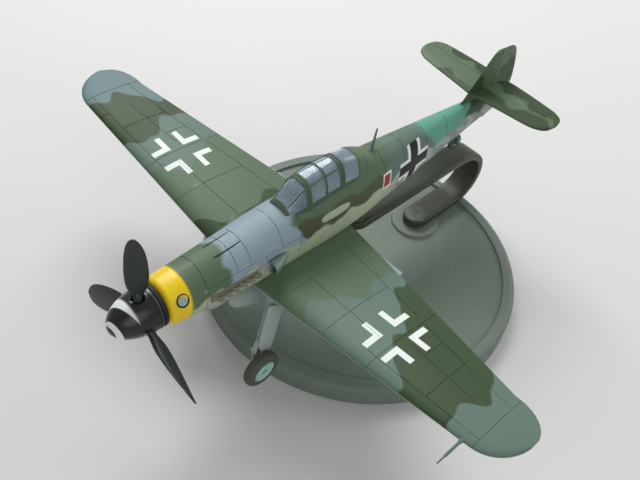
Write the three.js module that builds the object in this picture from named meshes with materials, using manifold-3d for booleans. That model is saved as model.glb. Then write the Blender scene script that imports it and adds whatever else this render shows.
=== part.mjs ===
// 1:72 scale model of a single-seat propeller fighter on its display stand.
// Millimetres. The aircraft is drawn in its own frame: x to port, y aft from the nose face,
// z up from the propeller's axis. One group then stands it over the base.
import * as THREE from 'three';
import { mergeVertices } from 'three/addons/utils/BufferGeometryUtils.js';
import { LoftGeometry } from 'three/addons/geometries/LoftGeometry.js';
import Module from 'manifold-3d';

const wasm = await Module();
wasm.setup();

// driving dimensions
const seam = 0.2;              // gap where two glued or screwed pieces meet
const fit = 0.3;               // clearance round a peg, shaft or socket
const thrustHeight = 38;       // propeller axis above the table
const baseAft = 66;            // base centre behind the nose face

const wall = 1.2;              // fuselage shell
const noseLength = 5.0;        // coloured nose ring
const fuselageEnd = 105.8;     // rudder post
// y, half width, top, bottom
const fuselage = [
  [0, 4.7, 4.5, -5.2], [0.9, 5.1, 4.95, -5.7], [8, 5.35, 5.6, -7.2], [16, 5.6, 6.1, -8.6],
  [24, 5.9, 6.8, -9.4], [34, 6.1, 7.6, -9.9], [44, 6.2, 8.6, -10], [54, 6.0, 9.0, -9.3],
  [64, 5.2, 8.6, -7.8], [74, 4.3, 7.9, -6.2], [84, 3.4, 7.1, -4.6], [94, 2.5, 6.2, -3.1],
  [fuselageEnd, 1.4, 5.1, -1.5],
];
const waist = -0.5;            // height where the fuselage is widest
const shoulder = 0.88;         // below 1 squares the section's corners

const halfSpan = 68.9;
const wingRoot = { lead: 22.5, trail: 53.4, z: -8.3, thick: 4.2 };
const wingTip = { start: 60, lead: 24.5, trail: 40.2, meet: 34, thick: 1.5 };
const dihedral = 6.34;         // degrees

const finThick = 1.3;
const finTop = 18;
const hingeLine = 106;         // rudder's leading edge
const rudderEnd = 116;
const tailSpan = 21;           // half span of the tailplane
const tailHeight = 8;
const tailThick = 1.1;

const spinner = { radius: 4.9, length: 9.6, wall: 0.9, back: -1.5 };
const blade = { radius: 20.8, chord: 4.7, thick: 0.8, root: 2.5, stem: 0.9, y: -4.2, count: 3 };
const shaft = { radius: 0.9, end: 9.2, hub: 2.2 };
const bush = { radius: 2.4, length: 4 };
const collar = { radius: 1.8, length: 1.4 };

// exhaust stacks: first stack's place aft, spacing, count, height, radii and half width over them
const exhaust = { first: 10.4, step: 2, count: 6, z: -1.3, radius: 0.66, mouth: 0.58, reach: 6.7 };

const canopy = { front: 31, hood: 37.2, rear: 47.2, end: 58.5, glass: 0.6, sill: 4.1 };
const cockpit = { front: 34.5, rear: 56, opening: 3, tub: 3.1, floor: -2.5, rim: 4.2, sheet: 0.5 };

const tyre = { radius: 4.6, width: 2.6, bore: 2.9 };
const wheel = { x: 14.3, y: 17, z: -22.4 };
const axleRadius = 0.7;
const strut = { x: 7.6, y: 25.4, z: -8.4, radius: 0.95, inboard: 2.2 };
const door = { width: 5.4, length: 11, thick: 0.5, stand: 1.3, from: 2.6 };
const tailWheel = { y: 96.5, z: -7.3, radius: 2.3, width: 1.5 };

const tank = { nose: 19.8, length: 31, radius: 3.7, z: -16.2, peg: 0.5, pegs: [31.5, 40] };
const rack = { front: 28.5, rear: 43, half: 1.3 };
const screw = { head: 1.4, shank: 0.8, headHeight: 0.8, length: 4.6, at: [26.4, 49.6] };

const base = { radius: 42, height: 6, wall: 1.6, rim: 3.4, cover: 1.2, boss: 6.4, bossAft: 88 };
const arm = { width: 7, thick: 2.2, top: -12.3, end: 56.5, bend: 101, plug: 2, under: 0.3 };
const peg = { radius: 1.3, y: 59.5, depth: 3.6, socket: 2.4 };

// solids
const rad = THREE.MathUtils.degToRad;
const v3 = (x, y, z) => new THREE.Vector3(x, y, z);

function solid(geometry) {
  const g = geometry.index ? geometry.toNonIndexed() : geometry.clone();
  const bare = new THREE.BufferGeometry().setAttribute('position', g.getAttribute('position'));
  const merged = mergeVertices(bare, 1e-4);
  return new wasm.Manifold(new wasm.Mesh({
    numProp: 3,
    vertProperties: merged.attributes.position.array,
    triVerts: new Uint32Array(merged.index.array),
  }));
}

function geometryOf(manifold) {
  const mesh = manifold.getMesh();
  const g = new THREE.BufferGeometry();
  g.setAttribute('position', new THREE.BufferAttribute(mesh.vertProperties, 3));
  g.setIndex(new THREE.BufferAttribute(mesh.triVerts, 1));
  const flat = g.toNonIndexed();
  flat.computeVertexNormals();
  return flat;
}

const cut = (a, ...tools) => tools.reduce((rest, tool) => rest.subtract(tool), a);
const join = (a, ...more) => more.reduce((all, next) => all.add(next), a);

function box(x0, x1, y0, y1, z0, z1) {
  const g = new THREE.BoxGeometry(x1 - x0, y1 - y0, z1 - z0);
  return solid(g.translate((x0 + x1) / 2, (y0 + y1) / 2, (z0 + z1) / 2));
}

// A round bar, or a cone, between two points.
function rod(from, to, r0, r1 = r0, sides = 12) {
  const along = to.clone().sub(from);
  const g = new THREE.CylinderGeometry(r1, r0, along.length(), sides);
  g.applyQuaternion(new THREE.Quaternion().setFromUnitVectors(v3(0, 1, 0), along.clone().normalize()));
  const mid = from.clone().add(to).multiplyScalar(0.5);
  return solid(g.translate(mid.x, mid.y, mid.z));
}

// A turned piece: [radius, y] points round the y axis, from front to rear, closed on the axis or on itself.
function turned(profile, sides = 20) {
  const closed = profile[0][0] > 0 ? [...profile, profile[0]] : profile;
  return solid(new THREE.LatheGeometry(closed.map(([r, y]) => new THREE.Vector2(r, y)), sides));
}

const loft = (sections) => solid(new LoftGeometry(sections, { capStart: true, capEnd: true }));

// A flat piece: an outline drawn in two axes and given a thickness along the third.
function plate(outline, thick, toWorld) {
  const shape = new THREE.Shape(outline.map(([a, b]) => new THREE.Vector2(a, b)));
  const bevel = Math.min(0.25, thick / 4);
  const g = new THREE.ExtrudeGeometry(shape, {
    depth: thick - 2 * bevel, bevelThickness: bevel, bevelSize: bevel, bevelOffset: -bevel, bevelSegments: 1,
  });
  return solid(g.translate(0, 0, -(thick / 2 - bevel)).applyMatrix4(toWorld));
}
const standing = new THREE.Matrix4().makeBasis(v3(0, 1, 0), v3(0, 0, 1), v3(1, 0, 0)); // (y, z)
const lying = new THREE.Matrix4().makeBasis(v3(1, 0, 0), v3(0, 1, 0), v3(0, 0, 1));    // (x, y)

// meshes and materials
const paint = {
  green: ['#46563c', 0.45, 0.1], greyGreen: ['#6d7f6f', 0.45, 0.1], sky: ['#a9b9b4', 0.5, 0.1],
  yellow: ['#e6c81f', 0.4, 0], black: ['#1d211d', 0.5, 0], rubber: ['#2c332c', 0.85, 0],
  steel: ['#9a9c9c', 0.35, 0.9], glass: ['#9fc0cf', 0.1, 0], cockpitGrey: ['#4b5350', 0.6, 0],
  stand: ['#4f564d', 0.5, 0], hub: ['#789e95', 0.5, 0], brown: ['#5b4a39', 0.7, 0],
};

const aircraft = new THREE.Group();
function piece(name, shape, finish, parent = aircraft) {
  const [color, roughness, metalness] = paint[finish];
  const glass = finish === 'glass';
  const material = new THREE.MeshStandardMaterial({
    color, roughness, metalness, transparent: glass, opacity: glass ? 0.4 : 1,
  });
  const mesh = new THREE.Mesh(geometryOf(shape), material);
  mesh.name = name;
  parent.add(mesh);
  return mesh;
}
const sides = [['port', 1], ['starboard', -1]];

// wing sections
const rise = Math.tan(rad(dihedral));
function wingAt(x) {
  const a = Math.abs(x);
  const t = Math.min(a / wingTip.start, 1);
  const u = Math.max(0, (a - wingTip.start) / (halfSpan - wingTip.start));
  const round = 1 - Math.sqrt(Math.max(0, 1 - u ** 2.2));
  const lead = wingRoot.lead + (wingTip.lead - wingRoot.lead) * t;
  const trail = wingRoot.trail + (wingTip.trail - wingRoot.trail) * t;
  return {
    lead: lead + (wingTip.meet - lead) * round,
    trail: trail + (wingTip.meet - trail) * round,
    z: wingRoot.z + a * rise,
    thick: (wingRoot.thick + (wingTip.thick - wingRoot.thick) * t) * (1 - 0.55 * round),
  };
}

// One half of the aerofoil: up = 1 above the chord line, -1 below it. grow thickens it.
function wingRing(x, up, grow = 0, points = 8) {
  const w = wingAt(x);
  const chord = w.trail - w.lead;
  const skin = [];
  const flat = [];
  for (let k = 0; k <= points; k++) {
    const s = (1 - Math.cos((k / points) * Math.PI)) / 2;
    const bulge = 2.969 * Math.sqrt(s) - 1.26 * s - 3.516 * s ** 2 + 2.843 * s ** 3 - 1.0 * s ** 4;
    const share = up > 0 ? 0.56 : 0.44;
    const y = w.lead + chord * s;
    skin.push(v3(x, y, w.z + up * (0.22 + grow + w.thick * share * Math.max(0, bulge))));
    flat.push(v3(x, y, w.z + up * (seam / 2 - grow)));
  }
  const ring = [...skin, ...flat.reverse()];
  return up > 0 ? ring.reverse() : ring;
}
const spanSteps = [2, 20, 40, wingTip.start, 63.5, 66, 67.8, halfSpan - 0.15];
const wingSolid = (steps, up, grow) => loft(steps.map((x) => wingRing(x, up, grow)));
const bothSides = [...spanSteps.map((x) => -x).reverse(), 0, ...spanSteps];
const wingClear = wingSolid(bothSides, -1, seam);

// fuselage
function fuselageAt(y) {
  const i = Math.min(Math.max(fuselage.findIndex((s) => s[0] >= y), 1), fuselage.length - 1);
  const [a, b] = [fuselage[i - 1], fuselage[i]];
  const t = (y - a[0]) / (b[0] - a[0]);
  return a.map((value, k) => value + (b[k] - value) * t);
}

function hull(from, to, grow, points = 24) {
  const inside = fuselage.map((s) => s[0]).filter((y) => y > from + 0.05 && y < to - 0.05);
  return loft([from, ...inside, to].map((y) => {
    const [, half, top, bottom] = fuselageAt(y);
    return Array.from({ length: points }, (_, k) => {
      const a = (k / points) * 2 * Math.PI;
      const [c, s] = [Math.cos(a), Math.sin(a)];
      const reach = s > 0 ? top - waist : waist - bottom;
      const squared = (value) => Math.sign(value) * Math.abs(value) ** shoulder;
      return v3(-(half + grow) * squared(c), y, waist + (reach + grow) * squared(s));
    });
  }));
}

const shellStart = noseLength + seam;
const screwSeat = -10.2 + screw.headHeight; // where a screw's head bears on the belly
const screwHoles = screw.at.map((y) => join(
  rod(v3(0, y, -12), v3(0, y, -6), screw.shank + fit),
  rod(v3(0, y, -12), v3(0, y, screwSeat), screw.head + fit),
));
const outer = hull(0, fuselageEnd, 0);
const clearOuter = hull(0, fuselageEnd, seam);
const hollow = hull(shellStart - 0.01, 98, -wall);
const bellyCut = box(-9, 9, wingRoot.lead - seam, wingRoot.trail + seam, -12, wingRoot.z + seam);
const cockpitCut = box(-cockpit.opening, cockpit.opening, cockpit.front, cockpit.rear, 4, 12);
const socketCut = rod(v3(0, peg.y, -12), v3(0, peg.y, -2), peg.socket + fit);
const ringCut = box(-9, 9, -1, shellStart, -12, 12);
const shell = cut(outer, ringCut, hollow, bellyCut, wingClear, cockpitCut, socketCut, ...screwHoles);

// screw bosses stand on a web inside the port half
const bossFoot = wingRoot.z + 1.3;
const bosses = screw.at.map((y) => join(
  rod(v3(0, y, bossFoot), v3(0, y, -3.5), 2),
  box(0, 5.2, y - 0.8, y + 0.8, bossFoot, -3.5).intersect(outer),
).subtract(rod(v3(0, y, -12), v3(0, y, -4.2), screw.shank + fit)));

const portHalf = shell.intersect(box(seam / 2, 9, -1, 120, -13, 13));
piece('fuselage_port', join(portHalf, ...bosses), 'green');
piece('fuselage_starboard', shell.intersect(box(-9, -seam / 2, -1, 120, -13, 13)), 'green');

const ringBody = hull(0, noseLength, 0).subtract(hull(2.6, noseLength + 1, -wall));
const bushHole = rod(v3(0, -1, 0), v3(0, 5, 0), bush.radius + fit, undefined, 20);
piece('nose_cowl_ring', cut(ringBody, bushHole), 'yellow');

// exhaust stubs: a rail with six stacks on each side of the nose
for (const [side, s] of sides) {
  const { first, step, count, z, radius, mouth, reach } = exhaust;
  const last = first + step * (count - 1);
  const rail = box(4.8, reach - 0.8, first - 1, last + 1.2, z - radius, z + radius);
  const stacks = Array.from({ length: count }, (_, k) => {
    const y = first + step * k;
    return rod(v3(5, y, z), v3(reach, y + 0.9, z - 0.2), radius, mouth, 10);
  });
  const row = cut(join(rail, ...stacks), clearOuter);
  piece(`exhaust_${side}`, s > 0 ? row : row.mirror([1, 0, 0]), 'brown');
}

// supercharger intake on the port side, open to the front
const intakeAt = v3(7.3, 24.2, -0.6);
const intake = cut(
  join(rod(intakeAt, intakeAt.clone().add(v3(-0.9, 5.2, 0)), 1.7, 1.3), box(4.5, 7.3, 25.4, 28.4, -1.7, 0.5)),
  rod(intakeAt.clone().add(v3(0, -1, 0)), intakeAt.clone().add(v3(0, 2.6, 0)), 1.2), clearOuter,
);
piece('supercharger_intake', intake, 'greyGreen');

// oil cooler bath under the nose
const coolerRing = (y, half, depth) => Array.from({ length: 12 }, (_, k) => {
  const a = (k / 12) * 2 * Math.PI;
  return v3(-half * Math.cos(a), y, -7 + depth * Math.sin(a));
});
const cooler = cut(
  loft([coolerRing(11.5, 2.9, 3.4), coolerRing(14, 3.3, 3.8), coolerRing(22, 2.7, 3)]),
  loft([coolerRing(10, 2.3, 2.8), coolerRing(13, 2.3, 2.8)]), clearOuter,
);
piece('oil_cooler', cooler, 'greyGreen');

// canopy and cockpit
const canopyTop = [[31, 7.4], [33, 9.2], [37.2, 12.4], [42, 13.1], [47.2, 13.1], [52, 12.4], [58.5, 9.2]];
function canopyRing([y, top], inset) {
  const t = Math.min(1, (y - canopy.front) / 6);
  const foot = (3 + 1.1 * t) - inset;
  const head = (2.2 + 0.5 * t) - inset;
  const high = top - inset;
  const arch = [
    [foot, canopy.sill], [foot, Math.min(8, high - 0.5)], [head, high - 0.6], [head * 0.6, high - 0.1],
  ];
  const left = arch.map(([x, z]) => v3(-x, y, z));
  const right = arch.map(([x, z]) => v3(x, y, z)).reverse();
  return [...left, v3(0, y, high), ...right];
}
const glassOuter = loft(canopyTop.map((s) => canopyRing(s, 0)));
const glassInner = loft(canopyTop.map(([y, z], k) => {
  const shift = k === 0 ? 1.2 : k === canopyTop.length - 1 ? -0.8 : 0;
  return canopyRing([y + shift, z], canopy.glass);
}));
const glazing = cut(glassOuter, glassInner, clearOuter);
const pane = (y0, y1) => glazing.intersect(box(-6, 6, y0, y1, 3, 15));
piece('windscreen', pane(canopy.front - 1, canopy.hood - seam / 2), 'glass');
piece('canopy_hood', pane(canopy.hood + seam / 2, canopy.rear - seam / 2), 'glass');
piece('rear_glazing', pane(canopy.rear + seam / 2, canopy.end + 1), 'glass');

const { tub, floor, rim, sheet } = cockpit;
const tubInner = tub - sheet;
piece('cockpit_tub', cut(
  box(-tub, tub, cockpit.front + seam, cockpit.rear - seam, floor, rim),
  box(-tubInner, tubInner, cockpit.front + seam + sheet, cockpit.rear - seam - sheet, floor + sheet, rim + 1),
), 'cockpitGrey');
const deck = floor + sheet + seam;
piece('pilot_seat', join(
  box(-1.9, 1.9, 41.4, 45.6, deck, deck + 1.2),
  box(-1.9, 1.9, 44.9, 45.7, deck + 1, deck + 6.2),
  box(-2.1, -1.6, 41.6, 45.4, deck + 1, deck + 2.4), box(1.6, 2.1, 41.6, 45.4, deck + 1, deck + 2.4),
), 'brown');
piece('head_armour', box(-1.5, 1.5, 46.1, 46.7, deck, 11.4), 'cockpitGrey');
piece('instrument_panel', box(-2.4, 2.4, 36, 36.6, deck, 7.6), 'black');
piece('gunsight', join(box(-0.4, 0.4, 36, 37, 7.8, 9), box(-0.6, 0.6, 36.4, 36.8, 8.6, 9.8)), 'black');
piece('control_stick', join(
  rod(v3(0, 39.6, deck), v3(0, 39.6, 2.4), 0.3, 0.25, 8), rod(v3(0, 39.6, 2), v3(0, 39.9, 3.4), 0.45, 0.4, 8),
), 'black');
const mastFoot = v3(0, 60.2, fuselageAt(60)[2] + fit);
piece('antenna_mast', rod(mastFoot, v3(0, 60.6, 14.6), 0.55, 0.3, 8), 'greyGreen');

// wings
// undercarriage geometry, needed for the sockets in the wing
function legLine(s) {
  const top = v3(s * strut.x, strut.y, strut.z);
  const foot = v3(s * (wheel.x - strut.inboard), wheel.y, wheel.z);
  return { top, foot, along: foot.clone().sub(top).normalize() };
}
const legSockets = sides.map(([, s]) => {
  const { top, along } = legLine(s);
  const [deep, mouth] = [4, -1.2].map((d) => top.clone().addScaledVector(along, d));
  return rod(deep, mouth, strut.radius + fit);
});
const belly = outer.intersect(box(-9, 9, wingRoot.lead, wingRoot.trail, -12, wingRoot.z - seam / 2));
const lowerWing = cut(join(wingSolid(bothSides, -1), belly), ...legSockets, ...screwHoles);
piece('wing_lower', lowerWing, 'sky');
for (const [side, s] of sides) {
  const steps = s > 0 ? spanSteps : [...spanSteps].reverse().map((x) => -x);
  piece(`wing_upper_${side}`, cut(wingSolid(steps, 1), clearOuter, ...legSockets), 'green');
}
screw.at.forEach((y, k) => {
  const head = screwSeat - 0.1;
  piece(`wing_screw_${k ? 'rear' : 'front'}`, join(
    rod(v3(0, y, head - screw.headHeight), v3(0, y, head), screw.head),
    rod(v3(0, y, head - 0.1), v3(0, y, head + screw.length), screw.shank, screw.shank, 12),
  ), 'steel');
});

// radiator baths under the wings
for (const [side, s] of sides) {
  const bath = (y, half, depth) => Array.from({ length: 12 }, (_, k) => {
    const a = (k / 12) * 2 * Math.PI;
    return v3(17.5 - half * Math.cos(a), y, -8.2 + depth * Math.sin(a));
  });
  const duct = cut(
    loft([bath(37, 5, 3.2), bath(40, 5.2, 3.6), bath(50.5, 4.8, 2)]),
    loft([bath(36, 4.4, 2.7), bath(39, 4.4, 2.7)]), wingClear, box(0, 30, 30, 56, -6.9, 0),
  );
  piece(`radiator_${side}`, s > 0 ? duct : duct.mirror([1, 0, 0]), 'sky');
}

// pitot head on the port leading edge
const pitotX = 59;
const pitotZ = wingAt(pitotX).z;
const pitotRoot = v3(pitotX, wingAt(pitotX).lead - fit, pitotZ);
piece('pitot_tube', rod(pitotRoot, v3(pitotX, wingAt(pitotX).lead - 7, pitotZ), 0.35, 0.25, 8), 'greyGreen');

// tail
const finOutline = [
  [91.5, 4.5], [95, 8], [100.2, 13.6], [103, finTop - 1.2],
  [hingeLine - seam, finTop], [hingeLine - seam, 3.5],
];
piece('fin', cut(plate(finOutline, finThick, standing), clearOuter), 'green');
const rudderOutline = [
  [hingeLine + seam, finTop], [110.6, finTop - 0.1], [113, finTop - 2], [114.6, 12.5],
  [rudderEnd, 4], [rudderEnd - 0.6, -0.5], [112, -2.8], [hingeLine + seam, -3],
];
piece('rudder', plate(rudderOutline, finThick, standing), 'green');
for (const [side, s] of sides) {
  const root = finThick / 2 + seam;
  const outline = [
    [root, 97], [17, 99], [tailSpan - 0.8, 101.4], [tailSpan, 104], [tailSpan - 0.6, 107.5], [18, 109.4],
    [2.2, 110], [root + 0.6, 108.6],
  ];
  const half = cut(plate(outline, tailThick, lying).translate([0, 0, tailHeight]), clearOuter);
  piece(`tailplane_${side}`, s > 0 ? half : half.mirror([1, 0, 0]), 'green');
}
const forkX = tailWheel.width / 2 + fit;
const tailAxle = v3(0, tailWheel.y, tailWheel.z);
piece('tail_fork', join(
  rod(v3(0, 95.3, fuselageAt(95)[3] - fit), v3(0, 95.6, -4.3), 0.7, 0.6, 10),
  box(-forkX - 0.5, forkX + 0.5, 95, 96.4, -4.6, -4),
  box(-forkX - 0.5, -forkX, 95.4, 96.9, -7.8, -4.2), box(forkX, forkX + 0.5, 95.4, 96.9, -7.8, -4.2),
  rod(tailAxle.clone().setX(-forkX - 0.1), tailAxle.clone().setX(forkX + 0.1), 0.4, 0.4, 8),
), 'greyGreen');

// wheels and legs
// rubber ring with a round tread, turned about the y axis, then laid on the wheel's axis
function tyreSolid(radius, width, bore) {
  const shoulderR = radius - width * 0.35;
  const side = width / 2;
  return turned([
    [bore, -side * 0.8], [shoulderR, -side], [radius - width * 0.12, -side * 0.6], [radius, 0],
    [radius - width * 0.12, side * 0.6], [shoulderR, side], [bore, side * 0.8],
  ]);
}
const onAxle = (shape, x, y, z) => shape.rotate([0, 0, 90]).translate([x, y, z]);
const tailTyre = tyreSolid(tailWheel.radius, tailWheel.width, 0.4 + fit);
piece('tail_tyre', onAxle(tailTyre, 0, tailWheel.y, tailWheel.z), 'rubber');

const hubRadius = tyre.bore - seam;
const hubSolid = turned([
  [axleRadius + fit / 2, -1], [hubRadius * 0.5, -1], [hubRadius * 0.75, -0.7], [hubRadius, -1.1],
  [hubRadius, 1.1], [hubRadius * 0.75, 0.7], [hubRadius * 0.5, 1.1], [axleRadius + fit / 2, 1.1],
]);
for (const [side, s] of sides) {
  const { top, foot, along } = legLine(s);
  const knee = top.clone().lerp(foot, 0.62);
  piece(`gear_leg_${side}`, join(
    rod(top.clone().addScaledVector(along, -0.9), knee, strut.radius),
    rod(knee.clone().addScaledVector(along, -0.5), foot, strut.radius * 0.7),
    rod(foot, foot.clone().setX(s * (wheel.x + tyre.width / 2)), axleRadius, axleRadius, 12),
    rod(foot.clone().setX(foot.x - s * 0.7), foot.clone().setX(foot.x + s * 0.4), 1.15, 1.15, 12),
  ), 'sky');

  const outward = v3(s, 0, 0).addScaledVector(along, -along.x * s).normalize();
  const across = along.clone().cross(outward).multiplyScalar(s);
  const half = door.width / 2;
  const leaf = [
    [-half, 0], [half, 0], [half, door.length - 3], [half * 0.5, door.length], [-half * 0.8, door.length],
  ];
  const place = new THREE.Matrix4().makeBasis(across, along, outward.clone().multiplyScalar(s > 0 ? 1 : -1));
  if (place.determinant() < 0) place.makeBasis(across.clone().negate(), along, outward);
  const at = top.clone().addScaledVector(along, door.from);
  place.setPosition(at.addScaledVector(outward, door.stand + door.thick / 2));
  const clips = [1.5, 6.5].map((d) => {
    const p = top.clone().addScaledVector(along, door.from + d);
    const inner = p.clone().addScaledVector(outward, strut.radius + 0.12);
    return rod(inner, p.clone().addScaledVector(outward, door.stand + 0.3), 0.45, 0.45, 8);
  });
  piece(`gear_door_${side}`, join(plate(leaf, door.thick, place), ...clips), 'sky');
  piece(`wheel_hub_${side}`, onAxle(hubSolid, s * wheel.x, wheel.y, wheel.z), 'hub');
  const rubber = tyreSolid(tyre.radius, tyre.width, tyre.bore);
  piece(`tyre_${side}`, onAxle(rubber, s * wheel.x, wheel.y, wheel.z), 'rubber');
}

// drop tank
const tankProfile = [];
for (let k = 0; k <= 9; k++) {
  const s = k / 9;
  const r = s < 0.4 ? Math.sqrt(1 - (1 - s / 0.4) ** 2) : Math.cos(((s - 0.4) / 0.6) * (Math.PI / 2)) ** 0.8;
  tankProfile.push([k === 0 || k === 9 ? 0 : tank.radius * Math.max(r, 0.02), tank.nose + tank.length * s]);
}
const tankBody = turned(tankProfile, 16).translate([0, 0, tank.z]);
const rackFoot = tank.z + tank.radius + fit;
const pegTop = rackFoot + 1.6;
piece('drop_tank', join(
  tankBody, ...tank.pegs.map((y) => rod(v3(0, y, tank.z + 1), v3(0, y, pegTop), tank.peg, tank.peg, 10)),
), 'sky');
const rackOutline = [
  [-rack.half, rack.front + 2.4], [0, rack.front], [rack.half, rack.front + 2.4],
  [rack.half, rack.rear - 4], [0, rack.rear], [-rack.half, rack.rear - 4],
];
const rackTop = -8;
const rackBlock = plate(rackOutline, rackTop - rackFoot, lying).translate([0, 0, (rackTop + rackFoot) / 2]);
piece('tank_rack', cut(
  rackBlock, wingClear, hull(0, fuselageEnd, seam),
  ...tank.pegs.map((y) => rod(v3(0, y, -14), v3(0, y, pegTop + fit), tank.peg + fit, tank.peg + fit, 10)),
), 'sky');

// propeller
const cone = (radius, length, back) => Array.from({ length: 7 }, (_, k) => {
  const s = 1 - k / 6;
  return [radius * Math.sqrt(1 - s ** 2.2), back - length * s];
});
const stemAxis = (k) => {
  const a = rad(90 + (360 / blade.count) * k);
  return v3(Math.cos(a), 0, Math.sin(a));
};
const hubNose = blade.y - 2.4;
const spinnerBody = turned([...cone(spinner.radius, spinner.length, spinner.back), [0, spinner.back]]);
const spinnerHollow = turned([
  ...cone(spinner.radius - spinner.wall, spinner.length - 1.6, spinner.back + 0.01), [0, spinner.back + 0.01],
]);
const stemHoles = Array.from({ length: blade.count }, (_, k) => rod(
  stemAxis(k).setY(blade.y), stemAxis(k).multiplyScalar(8).setY(blade.y), blade.stem + fit));
piece('spinner', cut(spinnerBody, spinnerHollow, ...stemHoles), 'black');
piece('spinner_backplate', turned([
  [shaft.radius + fit, spinner.back + seam], [spinner.radius, spinner.back + seam],
  [spinner.radius, -0.4], [shaft.radius + fit, -0.4],
]), 'black');
piece('prop_shaft', join(
  rod(v3(0, hubNose, 0), v3(0, spinner.back - fit, 0), shaft.hub),
  rod(v3(0, spinner.back - 1, 0), v3(0, shaft.end, 0), shaft.radius),
), 'steel');
// a ring round the shaft, from one place aft to another
const ringOn = (bore, radius, y0, y1, sideCount) => turned([
  [bore, y0], [radius, y0], [radius, y1], [bore, y1],
], sideCount);
const bushEnd = bush.length + 0.2;
const collarStart = bushEnd + 1;
piece('nose_bush', ringOn(shaft.radius + 0.08, bush.radius, 0.2, bushEnd), 'steel');
const collarEnd = collarStart + collar.length;
piece('shaft_collar', ringOn(shaft.radius + 0.1, collar.radius, collarStart, collarEnd, 16), 'steel');

// A blade: a round stem, then twisted sections out to a rounded tip.
function bladeSolid() {
  const steps = [5.6, 7, 9.5, 12.5, 15.5, 18, 19.8, blade.radius - 0.1];
  const width = [0.45, 0.62, 0.9, 1, 0.96, 0.82, 0.55, 0.14];
  const sections = steps.map((r, k) => {
    const twist = rad(62 - 36 * ((r - 5.6) / (blade.radius - 5.6)));
    return Array.from({ length: 14 }, (_, j) => {
      const a = (j / 14) * 2 * Math.PI;
      const along = Math.cos(a) * blade.chord * 0.5 * width[k];
      const thick = Math.sin(a) * blade.thick * (1 - 0.55 * (k / 7)) * 0.5;
      const x = along * Math.cos(twist) - thick * Math.sin(twist);
      const y = along * Math.sin(twist) + thick * Math.cos(twist);
      return v3(x, blade.y + y, r);
    });
  });
  return join(loft(sections), rod(v3(0, blade.y, blade.root), v3(0, blade.y, 6.6), blade.stem));
}
const firstBlade = bladeSolid();
for (let k = 0; k < blade.count; k++) {
  piece(`prop_blade_${k + 1}`, firstBlade.rotate([0, (360 / blade.count) * k, 0]), 'black');
}

// stand
const tableZ = -thrustHeight;
const baseTop = tableZ + base.height;
const deckZ = baseTop - 0.8;
const stand = new THREE.Group();

piece('peg_socket', cut(
  rod(v3(0, peg.y, fuselageAt(peg.y)[3] + 0.2), v3(0, peg.y, -3), peg.socket),
  rod(v3(0, peg.y, -12), v3(0, peg.y, fuselageAt(peg.y)[3] + peg.depth + fit), peg.radius + fit / 2),
), 'black');

const R = base.radius;
const upright = (shape) => shape.rotate([90, 0, 0]).translate([0, baseAft, 0]); // profile y becomes height
const baseBody = upright(turned([
  [0, deckZ], [R - base.rim - 0.8, deckZ], [R - base.rim, baseTop], [R - 1.6, baseTop], [R, baseTop - 1.6],
  [R, tableZ + 0.6], [R - 0.6, tableZ], [0, tableZ],
].reverse(), 48));
const baseHollow = upright(turned([
  [0, deckZ - base.wall], [R - base.rim - 2.4, deckZ - base.wall],
  [R - base.rim - 0.6, tableZ + base.cover + fit], [R - base.rim - 0.6, tableZ - 1], [0, tableZ - 1],
].reverse(), 48));
const bossAt = (z) => v3(0, base.bossAft, z);
const boss = rod(bossAt(deckZ - base.wall - 1.4), bossAt(baseTop + 0.2), base.boss, base.boss, 24);
const plugHole = rod(bossAt(tableZ + 2.2), bossAt(baseTop + 4), arm.plug + fit / 2);
piece('stand_base', cut(join(cut(baseBody, baseHollow), boss), plugHole), 'stand', stand);
piece('stand_base_cover', upright(turned([
  [0, tableZ + base.cover], [R - base.rim - 0.9, tableZ + base.cover],
  [R - base.rim - 0.9, tableZ], [0, tableZ],
].reverse(), 48)), 'black', stand);

// The arm is a flat band bent to a C: foot over the boss, bend behind, strip forward under the belly.
const footZ = baseTop + 0.2 + arm.under + arm.thick / 2;
const bendRise = arm.top - arm.thick / 2 - footZ;
const path = new THREE.CurvePath();
const footStart = v3(0, base.bossAft - arm.width / 2, footZ);
const bendStart = v3(0, arm.bend, footZ);
const bendEnd = v3(0, arm.bend - 3, footZ + bendRise);
path.add(new THREE.LineCurve3(footStart, bendStart));
const lowHandle = v3(0, arm.bend + bendRise * 0.72, footZ);
const highHandle = v3(0, arm.bend + bendRise * 0.7, footZ + bendRise);
path.add(new THREE.CubicBezierCurve3(bendStart, lowHandle, highHandle, bendEnd));
path.add(new THREE.LineCurve3(bendEnd, v3(0, arm.end, footZ + bendRise)));
const bandSection = new THREE.Shape([
  [-arm.thick / 2, -arm.width / 2], [arm.thick / 2, -arm.width / 2],
  [arm.thick / 2, arm.width / 2], [-arm.thick / 2, arm.width / 2],
].map(([a, b]) => new THREE.Vector2(a, b)));
const bandSweep = { steps: 40, extrudePath: path, bevelEnabled: false };
const band = solid(new THREE.ExtrudeGeometry(bandSection, bandSweep));
piece('stand_arm', join(band, rod(bossAt(footZ), bossAt(tableZ + 2.6), arm.plug)), 'stand');
const stripTop = footZ + bendRise + arm.thick / 2;
piece('stand_peg', join(
  rod(v3(0, peg.y, stripTop + 0.1), v3(0, peg.y, stripTop + 1.2), 2.6, 1.9),
  rod(v3(0, peg.y, stripTop + 0.1), v3(0, peg.y, fuselageAt(peg.y)[3] + peg.depth), peg.radius),
), 'stand');

const model = new THREE.Group();
model.add(aircraft, stand);
model.position.set(0, -baseAft, thrustHeight);

export default model;
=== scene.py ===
import math

import bmesh
import bpy
from mathutils import Matrix, Vector
from mathutils.geometry import interpolate_bezier


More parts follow.
